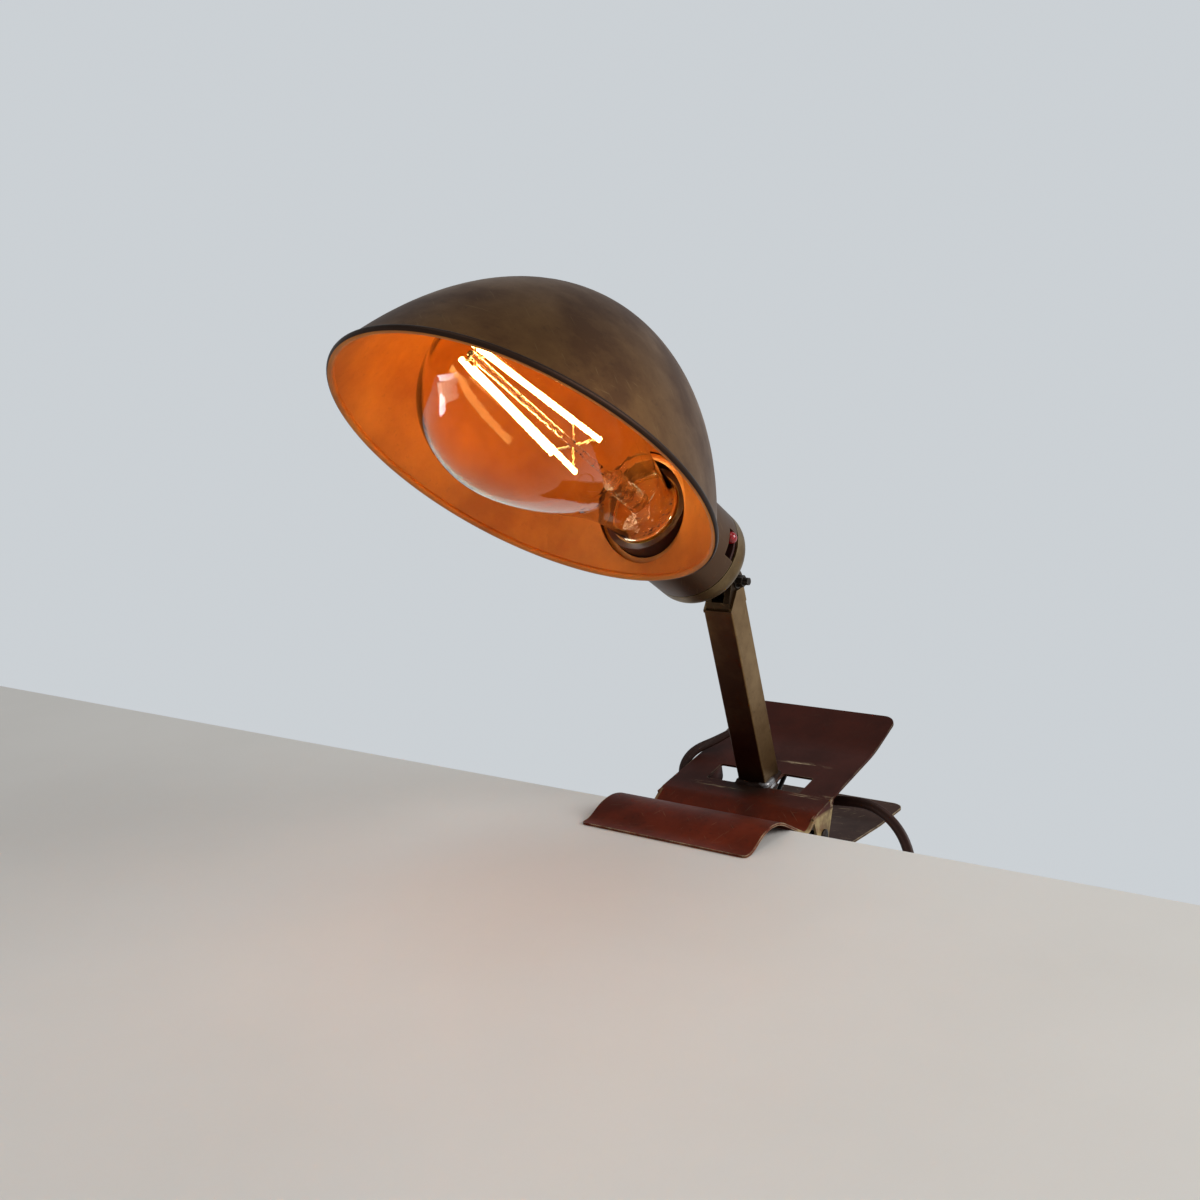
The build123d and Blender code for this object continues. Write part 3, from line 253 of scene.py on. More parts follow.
# %% [markdown]
# ## Node helpers
# Light and finishes are both made of shader nodes. Four short helpers add a node, work out a
# value or a vector, and stretch a value to another range. By hand, each call is one node
# dropped into the editor and wired up.

# %% Node helpers
def add_node(tree, kind, values=None, **settings):
    """Add a node, set its settings, and set or link its inputs by name."""
    made = tree.nodes.new(kind)
    for title, value in settings.items():
        setattr(made, title, value)
    for title, value in (values or {}).items():
        socket = made.inputs[title]
        if isinstance(value, bpy.types.NodeSocket):
            tree.links.new(value, socket)
        else:
            socket.default_value = value
    return made


def math(tree, operation, first, second=0.0, clamp=False):
    """A maths node's result."""
    made = add_node(tree, "ShaderNodeMath", {0: first, 1: second}, operation=operation)
    made.use_clamp = clamp
    return made.outputs[0]


def vector_math(tree, operation, first, second=(0.0, 0.0, 0.0)):
    """A vector maths node's results, named Vector and Value."""
    made = add_node(tree, "ShaderNodeVectorMath", {0: first, 1: second}, operation=operation)
    return made.outputs


def spread(tree, value, low, high, to_low=0.0, to_high=1.0):
    """Stretch a value from one range to another, held at the ends."""
    made = add_node(tree, "ShaderNodeMapRange", {
        "Value": value, "From Min": low, "From Max": high, "To Min": to_low, "To Max": to_high,
    })
    return made.outputs["Result"]


# %% [markdown]
# ## Light
# The room is a pale wall for what is seen directly, in metal or through glass, and a soft
# light from all round. In metal the wall darkens overhead, as a ceiling does. A window lights
# the right side and a weak lamp the top. The left window is linked to the bulb's glass, so it
# shines there and leaves the paint alone.

# %% Light
WALL_COLOUR = (0.60, 0.635, 0.665, 1.0)
SKY_COLOUR = (0.95, 0.97, 1.0, 1.0)
SKY_STRENGTH = 0.42
CEILING_HEIGHTS = (0.15, 0.9)
CEILING_DIM = 0.25
LAMP_TARGET = Vector((0.0, 0.0, 0.1))


def soft_lamp(name, place, width, energy):
    """A square soft lamp that looks at the lamp on the board."""
    data = bpy.data.lights.new(name, "AREA")
    data.shape = "SQUARE"
    data.size = width
    data.energy = energy
    lamp = bpy.data.objects.new(name, data)
    lamp.location = place
    lamp.rotation_euler = (LAMP_TARGET - Vector(place)).to_track_quat("-Z", "Y").to_euler()
    bpy.context.scene.collection.objects.link(lamp)
    return lamp


soft_lamp("window_right", (1.3, 0.35, 0.75), width=0.9, energy=17.0)
left_window = soft_lamp("window_left", (-0.92, -0.95, 0.26), width=0.75, energy=48.0)
left_window.visible_diffuse = False
lit_by_window = bpy.data.collections.new("lit_by_window")
lit_by_window.objects.link(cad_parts["bulb_glass"])
left_window.light_linking.receiver_collection = lit_by_window
soft_lamp("ceiling", (0.1, -0.4, 1.6), width=1.0, energy=4.5)
bpy.context.scene.view_settings.view_transform = "Standard"
print("lamps:", len(bpy.data.lights))

# %% Room
world = bpy.data.worlds.new("pale_room")
bpy.context.scene.world = world
world.use_nodes = True
sky = world.node_tree
sky.nodes.clear()
rays = add_node(sky, "ShaderNodeLightPath").outputs
sky_way = add_node(sky, "ShaderNodeTexCoord").outputs["Generated"]
height = add_node(sky, "ShaderNodeSeparateXYZ", {0: sky_way}).outputs["Z"]
overhead = spread(sky, height, *CEILING_HEIGHTS, 1.0, CEILING_DIM)
wall_strength = math(sky, "MAXIMUM", rays["Is Camera Ray"], overhead)
pale_wall = add_node(sky, "ShaderNodeBackground", {"Color": WALL_COLOUR, "Strength": wall_strength})
soft_sky = add_node(sky, "ShaderNodeBackground", {"Color": SKY_COLOUR, "Strength": SKY_STRENGTH})
sees_wall = math(sky, "MAXIMUM", rays["Is Camera Ray"], rays["Is Glossy Ray"])
sees_wall = math(sky, "MAXIMUM", sees_wall, rays["Is Transmission Ray"])
room = add_node(sky, "ShaderNodeMixShader", {
    0: sees_wall, 1: soft_sky.outputs[0], 2: pale_wall.outputs[0],
})
add_node(sky, "ShaderNodeOutputWorld", {"Surface": room.outputs[0]})
print("room:", len(sky.nodes), "nodes")

# %% [markdown]
# ## Finishes: the shared effects
# Old metal is never one colour. Three effects turn up on most pieces, so each is a node group
# that is built once: a mottled patina, wear along edges, and fine scratches. A group only
# gives colours, masks and heights. The shader stays in each material.

# %% Group helpers
COLOUR = "NodeSocketColor"
NUMBER = "NodeSocketFloat"


def new_group(name, numbers, colours, outputs):
    """An empty shader group with number and colour inputs and named outputs."""
    group = bpy.data.node_groups.new(name, "ShaderNodeTree")
    for title, value in numbers.items():
        socket = group.interface.new_socket(title, in_out="INPUT", socket_type=NUMBER)
        socket.default_value = value
    for title in colours:
        group.interface.new_socket(title, in_out="INPUT", socket_type=COLOUR)
    for title, kind in outputs.items():
        group.interface.new_socket(title, in_out="OUTPUT", socket_type=kind)
    group.nodes.new("NodeGroupInput").name = "into"
    group.nodes.new("NodeGroupOutput").name = "out"
    return group


def mix_colour(tree, share, first, second):
    """Two colours mixed by a share."""
    made = add_node(tree, "ShaderNodeMix", {0: share, 6: first, 7: second}, data_type="RGBA")
    return made.outputs[2]


def noise(tree, vector, scale, detail=4.0, roughness=0.55):
    """Cloudy noise on a vector."""
    made = add_node(tree, "ShaderNodeTexNoise", {
        "Vector": vector, "Scale": scale, "Detail": detail, "Roughness": roughness,
    })
    return made.outputs["Fac"]


def place_on(tree):
    """The piece's own coordinates in metres."""
    return add_node(tree, "ShaderNodeTexCoord").outputs["Object"]


# %% [markdown]
# ### Patina
# Tarnish grows in clouds, with small dark specks where damp sat. One cloudy noise mixes the
# fresh colour into the aged one, a finer noise sets the specks, and both give the grain.

# %% Patina
AGE_TOP = 0.75
AGE_BAND = 0.35
SPECK_BAND = (0.60, 0.72)
patina = new_group(
    "patina", {"Cloud Scale": 45.0, "Speck Scale": 420.0, "Tarnish": 0.5, "Specks": 0.35},
    ("Fresh", "Aged", "Speck Colour"), {"Colour": COLOUR, "Age": NUMBER, "Grain": NUMBER},
)
into = patina.nodes["into"].outputs
spot = place_on(patina)
clouds = noise(patina, spot, into["Cloud Scale"], detail=8.0, roughness=0.62)
lowest = math(patina, "SUBTRACT", AGE_TOP, into["Tarnish"])
age = spread(patina, clouds, lowest, math(patina, "ADD", lowest, AGE_BAND))
specks = noise(patina, spot, into["Speck Scale"], detail=3.0, roughness=0.7)
speck_mask = math(patina, "MULTIPLY", spread(patina, specks, *SPECK_BAND), into["Specks"])
metal = mix_colour(patina, age, into["Fresh"], into["Aged"])
metal = mix_colour(patina, speck_mask, metal, into["Speck Colour"])
half_specks, half_clouds = (math(patina, "MULTIPLY", part, 0.5) for part in (specks, clouds))
grain = math(patina, "ADD", half_specks, half_clouds)
for title, value in {"Colour": metal, "Age": age, "Grain": grain}.items():
    patina.links.new(value, patina.nodes["out"].inputs[title])
print("group:", patina.name)

# %% [markdown]
# ### Edge wear
# Hands and cloths rub edges bare first. A Bevel node gives the normal as if the edge were
# round; where it leaves the true normal there is an edge, and noise breaks the line up.

# %% Edge wear
WEAR_BAND = (0.01, 0.16)
BREAK_BAND = (0.38, 0.60)
edge_wear = new_group(
    "edge_wear", {"Width": 0.0008, "Break Scale": 160.0, "Amount": 1.0}, (), {"Mask": NUMBER},
)
into = edge_wear.nodes["into"].outputs
rounded = add_node(edge_wear, "ShaderNodeBevel", {"Radius": into["Width"]}, samples=6)
true_face = add_node(edge_wear, "ShaderNodeNewGeometry").outputs["Normal"]
alike = vector_math(edge_wear, "DOT_PRODUCT", rounded.outputs[0], true_face)["Value"]
bend = math(edge_wear, "SUBTRACT", 1.0, alike)
breaks = noise(edge_wear, place_on(edge_wear), into["Break Scale"], detail=6.0, roughness=0.6)
worn = spread(edge_wear, bend, *WEAR_BAND)
kept = spread(edge_wear, breaks, *BREAK_BAND)
mask = math(edge_wear, "MULTIPLY", worn, kept)
mask = math(edge_wear, "MULTIPLY", mask, into["Amount"], clamp=True)
edge_wear.links.new(mask, edge_wear.nodes["out"].inputs["Mask"])
print("group:", edge_wear.name)

# %% [markdown]
# ### Fine scratches
# A noise drawn out along one way turns into thin strokes. Three of them, each turned to its
# own slant, cross like real scratches.

# %% Fine scratches
SCRATCH_SLANTS = (25.0, -50.0, 80.0)
SCRATCH_AXIS = (0.3, -0.2, 0.93)
SCRATCH_BAND = (0.70, 0.74)
fine_scratches = new_group(
    "fine_scratches", {"Scale": 90.0, "Stretch": 22.0, "Amount": 0.5}, (), {"Mask": NUMBER},
)
into = fine_scratches.nodes["into"].outputs
spot = place_on(fine_scratches)
strokes = None
for slant in SCRATCH_SLANTS:
    turned = add_node(fine_scratches, "ShaderNodeVectorRotate", {
        "Vector": spot, "Axis": SCRATCH_AXIS, "Angle": radians(slant),
    })
    long_way = add_node(fine_scratches, "ShaderNodeCombineXYZ", {1: 1.0, 2: 1.0})
    fine_scratches.links.new(into["Stretch"], long_way.inputs[0])
    drawn = vector_math(fine_scratches, "MULTIPLY", turned.outputs[0], long_way.outputs[0])["Vector"]
    streaks = noise(fine_scratches, drawn, into["Scale"], detail=2.0, roughness=0.5)
    lines = spread(fine_scratches, streaks, *SCRATCH_BAND)
    strokes = lines if strokes is None else math(fine_scratches, "MAXIMUM", strokes, lines)
mask = math(fine_scratches, "MULTIPLY", strokes, into["Amount"])
fine_scratches.links.new(mask, fine_scratches.nodes["out"].inputs["Mask"])
print("group:", fine_scratches.name)

# %% [markdown]
# ## Finishes: the materials
# Each material starts from one Principled shader. Constant values sit on the shader itself,
# and only what changes over the surface is linked.

# %% Material helpers
GRAIN_DEEP = 0.2 * MM


def new_material(name, metallic=0.0, roughness=0.5, **sockets):
    """A material with one Principled shader, ready for its pattern."""
    material = bpy.data.materials.new(name)
    material.use_nodes = True
    tree = material.node_tree
    shader = tree.nodes["Principled BSDF"]
    shader.inputs["Metallic"].default_value = metallic
    shader.inputs["Roughness"].default_value = roughness
    for title, value in sockets.items():
        shader.inputs[title.replace("_", " ")].default_value = value
    return material, tree, shader


def use_group(tree, group, **values):
    """A group placed in a material with its own values."""
    made = tree.nodes.new("ShaderNodeGroup")
    made.node_tree = group
    for title, value in values.items():
        made.inputs[title.replace("_", " ")].default_value = value
    return made


def bump(tree, shader, height, strength, distance):
    """Let a height roughen the shader's normal."""
    made = add_node(tree, "ShaderNodeBump", {
        "Height": height, "Strength": strength, "Distance": distance,
    })
    tree.links.new(made.outputs["Normal"], shader.inputs["Normal"])


def rgb(red, green, blue):
    """An sRGB colour out of 255 as the linear colour that sockets take."""
    def linear(part):
        part /= 255
        return part / 12.92 if part <= 0.04045 else ((part + 0.055) / 1.055) ** 2.4
    return (linear(red), linear(green), linear(blue), 1.0)


def aged_metal(name, fresh, aged, speck, bare, metallic=1.0, rough=(0.30, 0.52), tarnish=0.5,
               cloud=45.0, wear=0.6, scratch=0.25, grain=0.12, shine=0.5):
    """Tarnished metal: patina, worn edges, scratches, and a roughness that follows the age."""
    material, tree, shader = new_material(name, metallic, Specular_IOR_Level=shine)
    skin = use_group(tree, patina, Fresh=fresh, Aged=aged, Speck_Colour=speck, Tarnish=tarnish,
                     Cloud_Scale=cloud)
    edges = use_group(tree, edge_wear, Amount=wear)
    lines = use_group(tree, fine_scratches, Amount=scratch)
    rubbed = math(tree, "MAXIMUM", edges.outputs["Mask"], lines.outputs["Mask"])
    tree.links.new(mix_colour(tree, rubbed, skin.outputs["Colour"], bare), shader.inputs["Base Color"])
    tree.links.new(spread(tree, skin.outputs["Age"], 0.0, 1.0, *rough), shader.inputs["Roughness"])
    bump(tree, shader, skin.outputs["Grain"], grain, GRAIN_DEEP)
    return material, tree, shader


def paint_over(tree, shader, mask, colour):
    """Lay another colour over a finish where a mask says so."""
    under = shader.inputs["Base Color"].links[0].from_socket
    tree.links.new(mix_colour(tree, mask, under, colour), shader.inputs["Base Color"])


def along(tree, origin, axis):
    """How far a spot lies from an origin along an axis, in metres."""
    away = vector_math(tree, "SUBTRACT", place_on(tree), origin)["Vector"]
    return vector_math(tree, "DOT_PRODUCT", away, axis)["Value"]


def distance_to(tree, place):
    """How far a spot lies from a place, in metres."""
    return vector_math(tree, "DISTANCE", place_on(tree), place)["Value"]


def dress(material, *nodes):
    """Give CAD nodes a finish through their material slots."""
    for name in nodes:
        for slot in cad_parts[name].material_slots:
            slot.material = material
    print(f"{material.name}:", ", ".join(nodes))


# %% [markdown]
# ## Arm
# The arm is square brass tube, tan where it is handled. Its front face is painted brown-black
# as painted shade, and it is darker near its foot. Both are masks on the tube's own directions:
# how far a spot lies towards the front, and how far above the foot.

# %% Arm
ARM_FOOT = Vector((0.0, 77.8, 4.325)) * MM
ARM_UP = Vector((0.0, -0.3338, 0.9426))
ARM_HALF = 6.35 * MM
ARM_SHADE_BAND = (-0.99 * ARM_HALF, -0.93 * ARM_HALF)
ARM_SHADE_PATCHES = (0.25, 0.55, 0.70, 0.97)
FOOT_BAND = (2 * MM, 8 * MM)
FOOT_PATCHES = (0.35, 0.60, 0.45, 1.0)
FOOT_SHOWS = 0.5
# Painted shade: the arm's front face is laid over with brown-black. The foot is made darker.
ARM_FRONT_SHADE = rgb(62, 36, 24)
DARK_BROWN = rgb(38, 27, 19)
FOOT_DARK = rgb(34, 25, 20)
arm_brass, tree, shader = aged_metal(
    "arm_brass", rgb(150, 119, 78), rgb(106, 80, 51), DARK_BROWN, rgb(190, 160, 112), tarnish=0.45)
front_shade = spread(tree, along(tree, ARM_FOOT, ARM_BACK), *ARM_SHADE_BAND, 1.0, 0.0)
arm_cloud = noise(tree, place_on(tree), scale=60.0, detail=6.0)
front_shade = math(tree, "MULTIPLY", front_shade, spread(tree, arm_cloud, *ARM_SHADE_PATCHES))
foot = spread(tree, along(tree, ARM_FOOT, ARM_UP), *FOOT_BAND, FOOT_SHOWS, 0.0)
foot = math(tree, "MULTIPLY", foot, spread(tree, arm_cloud, *FOOT_PATCHES))
paint_over(tree, shader, front_shade, ARM_FRONT_SHADE)
paint_over(tree, shader, foot, FOOT_DARK)
dress(arm_brass, "arm_tube")

# %% [markdown]
# ## Cap, lug and clevis
# The other brass fittings differ only in colour: olive for the cap, nearly black for the lug
# and clevis, bright inside the socket. The lug and clevis are dark bronze with painted shade
# laid in, for the shadowed gap between cap and arm where they sit. One helper makes them all.

# %% Cap, lug and clevis
cap_brass, _, _ = aged_metal(
    "cap_brass", rgb(150, 124, 82), rgb(100, 78, 52), DARK_BROWN, rgb(192, 166, 116), tarnish=0.45)
# Dark bronze with painted shade: the lug and clevis sit in the shadowed gap between cap and arm.
shaded_dark_bronze, _, _ = aged_metal(
    "shaded_dark_bronze", rgb(84, 64, 44), rgb(48, 36, 26), DARK_BROWN, rgb(150, 124, 84), tarnish=0.5)
inner_brass, _, _ = aged_metal(
    "inner_brass", rgb(206, 172, 106), rgb(160, 126, 72), DARK_BROWN, rgb(220, 196, 140), tarnish=0.4)
dress(cap_brass, "socket_cap")
dress(shaded_dark_bronze, "head_lug", "arm_clevis")
dress(inner_brass, "screw_shell", "center_contact", "base_contact", "terminal_screws")

# %% [markdown]
# ## Shade
# The shade is one spun sheet: patinated outside, satin brass inside, with a dark rolled rim.
# The inside's brass is tinted deep orange, partly its own colour and partly painted amber glow.
# The solid is one skin, so its sides are told apart by depth. Measured from the dome's centre
# and scaled by its three half-axes, the inside lies a little nearer than the outside.

# %% Shade: bronze outside, satin brass inside, a dark rim
X_WAY = Vector((1.0, 0.0, 0.0))
PIVOT = Vector((0.0, 50.8605, 92.3825)) * MM
HEAD_RISE = radians(30)
HEAD_WAY = Vector((0.0, -cos(HEAD_RISE), sin(HEAD_RISE)))
HEAD_UP = Vector((0.0, sin(HEAD_RISE), cos(HEAD_RISE)))
DOME_TIP = radians(20.8)
DOME_CENTRE = PIVOT + (142.7 * HEAD_WAY - 68.7 * HEAD_UP) * MM
DOME_WAY = HEAD_WAY * cos(DOME_TIP) + HEAD_UP * sin(DOME_TIP)
DOME_FALL = DOME_WAY.cross(X_WAY)
DOME_LONG, DOME_TALL, DOME_SIDE = 80.3 * MM, 117.6 * MM, 64.3 * MM
RIM_TILT = radians(4.3)
RIM_POINT = PIVOT + (129.3 * HEAD_WAY - 18.1 * HEAD_UP) * MM
RIM_UP = HEAD_UP * cos(RIM_TILT) - HEAD_WAY * sin(RIM_TILT)
RIM_BAND = (0.84 * MM, 1.32 * MM)
INSIDE_BAND = (0.9945, 0.9965)
RIM_DEPTH = (0.994, 0.998)
COLLAR_BAND = (1.002, 1.006)
# Satin brass pushed to a deep orange: partly brass, partly painted amber glow from the bulb.
SATIN_GLOW_FRESH = rgb(212, 132, 42)
SATIN_GLOW_AGED = rgb(172, 96, 25)
COLLAR_BROWN = rgb(92, 67, 48)
RUBBED_BRONZE = rgb(168, 142, 98)
RIM_BROWN = rgb(52, 36, 27)
METAL_OUT, METAL_IN = 0.92, 0.25
SHADE_ROUGH = (0.34, 0.52)
INSIDE_ROUGHER = 0.05

shade_finish, tree, shader = new_material("shade_finish")
dome_spot = add_node(tree, "ShaderNodeCombineXYZ", {
    0: along(tree, DOME_CENTRE, DOME_WAY / DOME_LONG),
    1: along(tree, DOME_CENTRE, DOME_FALL / DOME_TALL),
    2: along(tree, DOME_CENTRE, X_WAY / DOME_SIDE),
})
depth = vector_math(tree, "LENGTH", dome_spot.outputs[0])["Value"]
inside = spread(tree, depth, *INSIDE_BAND, 1.0, 0.0)
rim = spread(tree, along(tree, RIM_POINT, RIM_UP), *RIM_BAND, 1.0, 0.0)
rim = math(tree, "MULTIPLY", rim, spread(tree, depth, *RIM_DEPTH))
collar = spread(tree, depth, *COLLAR_BAND)
bronze = use_group(tree, patina, Fresh=rgb(140, 102, 58), Aged=rgb(82, 54, 31), Speck_Colour=DARK_BROWN,
                   Tarnish=0.52, Cloud_Scale=24.0, Specks=0.3)
satin_glow = use_group(tree, patina, Fresh=SATIN_GLOW_FRESH, Aged=SATIN_GLOW_AGED, Speck_Colour=rgb(96, 60, 30),
                  Tarnish=0.45, Cloud_Scale=30.0, Specks=0.18)
edges = use_group(tree, edge_wear, Amount=0.35)
lines = use_group(tree, fine_scratches, Amount=0.16)
rubbed = math(tree, "MAXIMUM", edges.outputs["Mask"], lines.outputs["Mask"])
skin = mix_colour(tree, collar, bronze.outputs["Colour"], COLLAR_BROWN)
skin = mix_colour(tree, rubbed, skin, RUBBED_BRONZE)
skin = mix_colour(tree, inside, skin, satin_glow.outputs["Colour"])
skin = mix_colour(tree, rim, skin, RIM_BROWN)
tree.links.new(skin, shader.inputs["Base Color"])
lit_inside = math(tree, "MULTIPLY", inside, math(tree, "SUBTRACT", 1.0, rim))
tree.links.new(spread(tree, lit_inside, 0.0, 1.0, METAL_OUT, METAL_IN), shader.inputs["Metallic"])
rougher_inside = math(tree, "MULTIPLY", lit_inside, INSIDE_ROUGHER)
rough_with_age = spread(tree, bronze.outputs["Age"], 0.0, 1.0, *SHADE_ROUGH)
tree.links.new(math(tree, "ADD", rough_with_age, rougher_inside), shader.inputs["Roughness"])
bump(tree, shader, bronze.outputs["Grain"], strength=0.10, distance=GRAIN_DEEP)
dress(shade_finish, "shade")

# The same orange satin brass, with its painted amber glow, for the bulb's base.
satin_brass_glow, _, _ = aged_metal(
    "satin_brass_glow", SATIN_GLOW_FRESH, SATIN_GLOW_AGED, DARK_BROWN, rgb(232, 186, 100), metallic=0.25, tarnish=0.4)
dress(satin_brass_glow, "bulb_base")

# %% [markdown]
# ## Steel, solder and small fittings
# Screws and spring are blackened steel. The solder at the arm's foot is bright at one corner
# only and black with burnt flux elsewhere, so a distance from that corner, made ragged by
# noise, mixes the metal into a dull crust.

# %% Steel, solder and the hidden fittings
dark_steel, _, _ = aged_metal(
    "dark_steel", rgb(86, 78, 70), rgb(48, 42, 38), DARK_BROWN, rgb(140, 132, 122), tarnish=0.55)
spring_steel, _, _ = aged_metal(
    "spring_steel", rgb(74, 68, 64), rgb(40, 34, 32), rgb(90, 50, 30), rgb(130, 124, 118), tarnish=0.5)
solder, tree, shader = aged_metal(
    "solder", rgb(158, 158, 160), rgb(116, 112, 110), rgb(70, 60, 52), rgb(215, 213, 210),
    tarnish=0.4, cloud=160.0, shine=0.05)
BRIGHT_CORNER = Vector((7.0, 73.5, 4.5)) * MM
FLUX_BAND = (4.5 * MM, 6.5 * MM)
FLUX_RAGGED = 4 * MM
FLUX_METAL = 0.1
FLUX = rgb(42, 30, 25)
ragged = math(tree, "MULTIPLY", noise(tree, place_on(tree), scale=420.0), FLUX_RAGGED)
flux = spread(tree, math(tree, "ADD", distance_to(tree, BRIGHT_CORNER), ragged), *FLUX_BAND)
paint_over(tree, shader, flux, FLUX)
tree.links.new(spread(tree, flux, 0.0, 1.0, 1.0, FLUX_METAL), shader.inputs["Metallic"])
plug_brass, _, _ = aged_metal(
    "plug_brass", rgb(200, 172, 110), rgb(150, 122, 70), DARK_BROWN, rgb(220, 196, 140), tarnish=0.35)
bright_wire, _, _ = aged_metal(
    "bright_wire", rgb(226, 206, 170), rgb(196, 172, 132), rgb(150, 120, 80), rgb(240, 226, 200),
    tarnish=0.3)
dress(dark_steel, "tilt_screw", "tilt_nut", "tilt_washers", "lug_locknut", "switch_lever")
dress(spring_steel, "hinge_pin")
dress(bright_wire, "filament_wires")
dress(plug_brass, "plug_blades")

# %% [markdown]
# ## Painted clip
# The clip is red-brown paint on steel. It is darker towards the back and in a patch in front
# of the arm, rubbed to the steel in a few strokes, and its side ears are lighter. Each is a mask
# on the plate's own place, laid over the last. The lower jaw has a darker, browner copy of the
# paint, painted shade for its place beneath the upper jaw.

# %% Painted clip
Y_WAY = Vector((0.0, 1.0, 0.0))
Z_WAY = Vector((0.0, 0.0, 1.0))
ORIGIN = Vector((0.0, 0.0, 0.0))
BARE_STEEL = rgb(186, 166, 132)
# A darker brown laid over the back of the plate.
REAR_DARK = rgb(38, 17, 12)
REAR_BAND = (52 * MM, 66 * MM)
REAR_SHOWS = 0.72
# A darker patch on the plate in front of the arm's foot.
DARK_PATCH_PLACE = Vector((-1.0, 71.5, 2.9)) * MM
DARK_PATCH_BAND = (6.0 * MM, 12.0 * MM)
DARK_PATCH_SHOWS = 0.85
EAR_BAND = (35.0 * MM, 35.5 * MM)
EAR_HEIGHTS = (-2.0 * MM, -0.5 * MM)
EAR_PATCHES = (0.36, 0.55, 0.35, 0.95)
# The side ears are made lighter.
EAR_LIGHT = rgb(158, 138, 96)
RUB_STRETCH = (0.10, 1.0, 1.0)
RUB_BREAKS = (0.50, 0.60)
RUB_FADE = (0.2, 1.0)
RUB_SHOWS = 0.75
RUB_REACH = (9.0 * MM, 1.6 * MM)
RUBS = [
    (8.0, 94.6, 7.9), (18.0, 95.4, 8.0), (26.0, 69.6, 2.6),
    (36.0, 71.2, 3.0), (-8.0, 66.2, 1.8), (-20.0, 67.0, 2.0),
]


def rubbed_bare(tree, shader):
    """Rub paint off to the steel at a few places, in thin broken strokes across the plate."""
    drawn = vector_math(tree, "MULTIPLY", place_on(tree), RUB_STRETCH)["Vector"]
    strokes = noise(tree, drawn, scale=900.0, detail=5.0, roughness=0.7)
    broken = spread(tree, strokes, *RUB_BREAKS)
    near = 0.0
    for rub in RUBS:
        place = Vector(rub) * MM
        flat = add_node(tree, "ShaderNodeCombineXYZ", {
            0: along(tree, place, X_WAY / RUB_REACH[0]), 1: along(tree, place, Y_WAY / RUB_REACH[1]),
        })
        away = vector_math(tree, "LENGTH", flat.outputs[0])["Value"]
        near = math(tree, "MAXIMUM", near, spread(tree, away, *RUB_FADE, 1.0, 0.0))
    worn = math(tree, "MULTIPLY", math(tree, "MULTIPLY", near, broken), RUB_SHOWS)
    paint_over(tree, shader, worn, BARE_STEEL)


clip_paint, tree, shader = aged_metal(
    "clip_paint", rgb(114, 43, 21), rgb(70, 27, 15), rgb(42, 20, 13), BARE_STEEL,
    metallic=0.0, rough=(0.34, 0.50), tarnish=0.5, cloud=26.0, wear=0.9, scratch=0.10, grain=0.10,
    shine=0.08)
rear_dark = spread(tree, along(tree, ORIGIN, Y_WAY), *REAR_BAND, 0.0, REAR_SHOWS)
paint_over(tree, shader, rear_dark, REAR_DARK)
rubbed_bare(tree, shader)
dark_patch = spread(tree, distance_to(tree, DARK_PATCH_PLACE), *DARK_PATCH_BAND, DARK_PATCH_SHOWS, 0.0)
paint_over(tree, shader, dark_patch, FOOT_DARK)
ear = spread(tree, along(tree, ORIGIN, Z_WAY), *EAR_HEIGHTS, 1.0, 0.0)
outer = math(tree, "ABSOLUTE", along(tree, ORIGIN, X_WAY))
ear = math(tree, "MULTIPLY", ear, spread(tree, outer, *EAR_BAND))
ear_cloud = spread(tree, noise(tree, place_on(tree), scale=150.0), *EAR_PATCHES)
paint_over(tree, shader, math(tree, "MULTIPLY", ear, ear_cloud), EAR_LIGHT)
# Painted shade: the lower jaw gets a darker, browner copy of the clip paint for its place beneath the
# upper jaw.
shaded_lower_paint, _, _ = aged_metal(
    "shaded_lower_paint", rgb(80, 50, 37), rgb(54, 34, 25), rgb(36, 24, 18), BARE_STEEL,
    metallic=0.15, rough=(0.38, 0.52), tarnish=0.5, cloud=26.0, wear=0.9, scratch=0.35, grain=0.10,
    shine=0.04)
dress(clip_paint, "upper_jaw")
dress(shaded_lower_paint, "lower_jaw")

# %% [markdown]
# ## Mouldings, bead and cord
# Socket body, grommet and plug are dark brown moulded resin, the flex is rubber of the same
# brown, and the switch has a red bead. None is metal, so colours, shine and wear change.

# %% Mouldings, bead and cord
SOFT_CLOUD = (0.35, 0.65)
moulding, _, _ = aged_metal(
    "moulding", rgb(66, 30, 24), rgb(44, 20, 17), rgb(28, 14, 12), rgb(96, 60, 50),
    metallic=0.0, rough=(0.25, 0.40), wear=0.3, scratch=0.15, grain=0.06)
flex, _, _ = aged_metal(
    "flex", rgb(60, 36, 28), rgb(38, 22, 17), rgb(26, 17, 12), rgb(92, 68, 54),
    metallic=0.0, rough=(0.30, 0.46), wear=0.0, scratch=0.1, grain=0.08, shine=0.2)
bead_red, tree, shader = new_material("bead_red", roughness=0.16, Coat_Weight=0.3)
bead_cloud = spread(tree, noise(tree, place_on(tree), scale=700.0), *SOFT_CLOUD)
bead_tint = mix_colour(tree, bead_cloud, rgb(158, 12, 20), rgb(118, 8, 15))
tree.links.new(bead_tint, shader.inputs["Base Color"])
dress(moulding, "socket_body", "cord_grommet", "base_insulator")
dress(flex, "arm_lead")
dress(bead_red, "lever_bead")
twin_flex.data.materials.append(flex)

# %% [markdown]
# ## Glass and light
# The bulb is amber glass round lit sticks. Glass needs many light bounces to let them shine
# out, so for shadow and diffuse rays it turns into a tinted nothing. The stem inside is clear,
# with a bump for its pressed lumps.

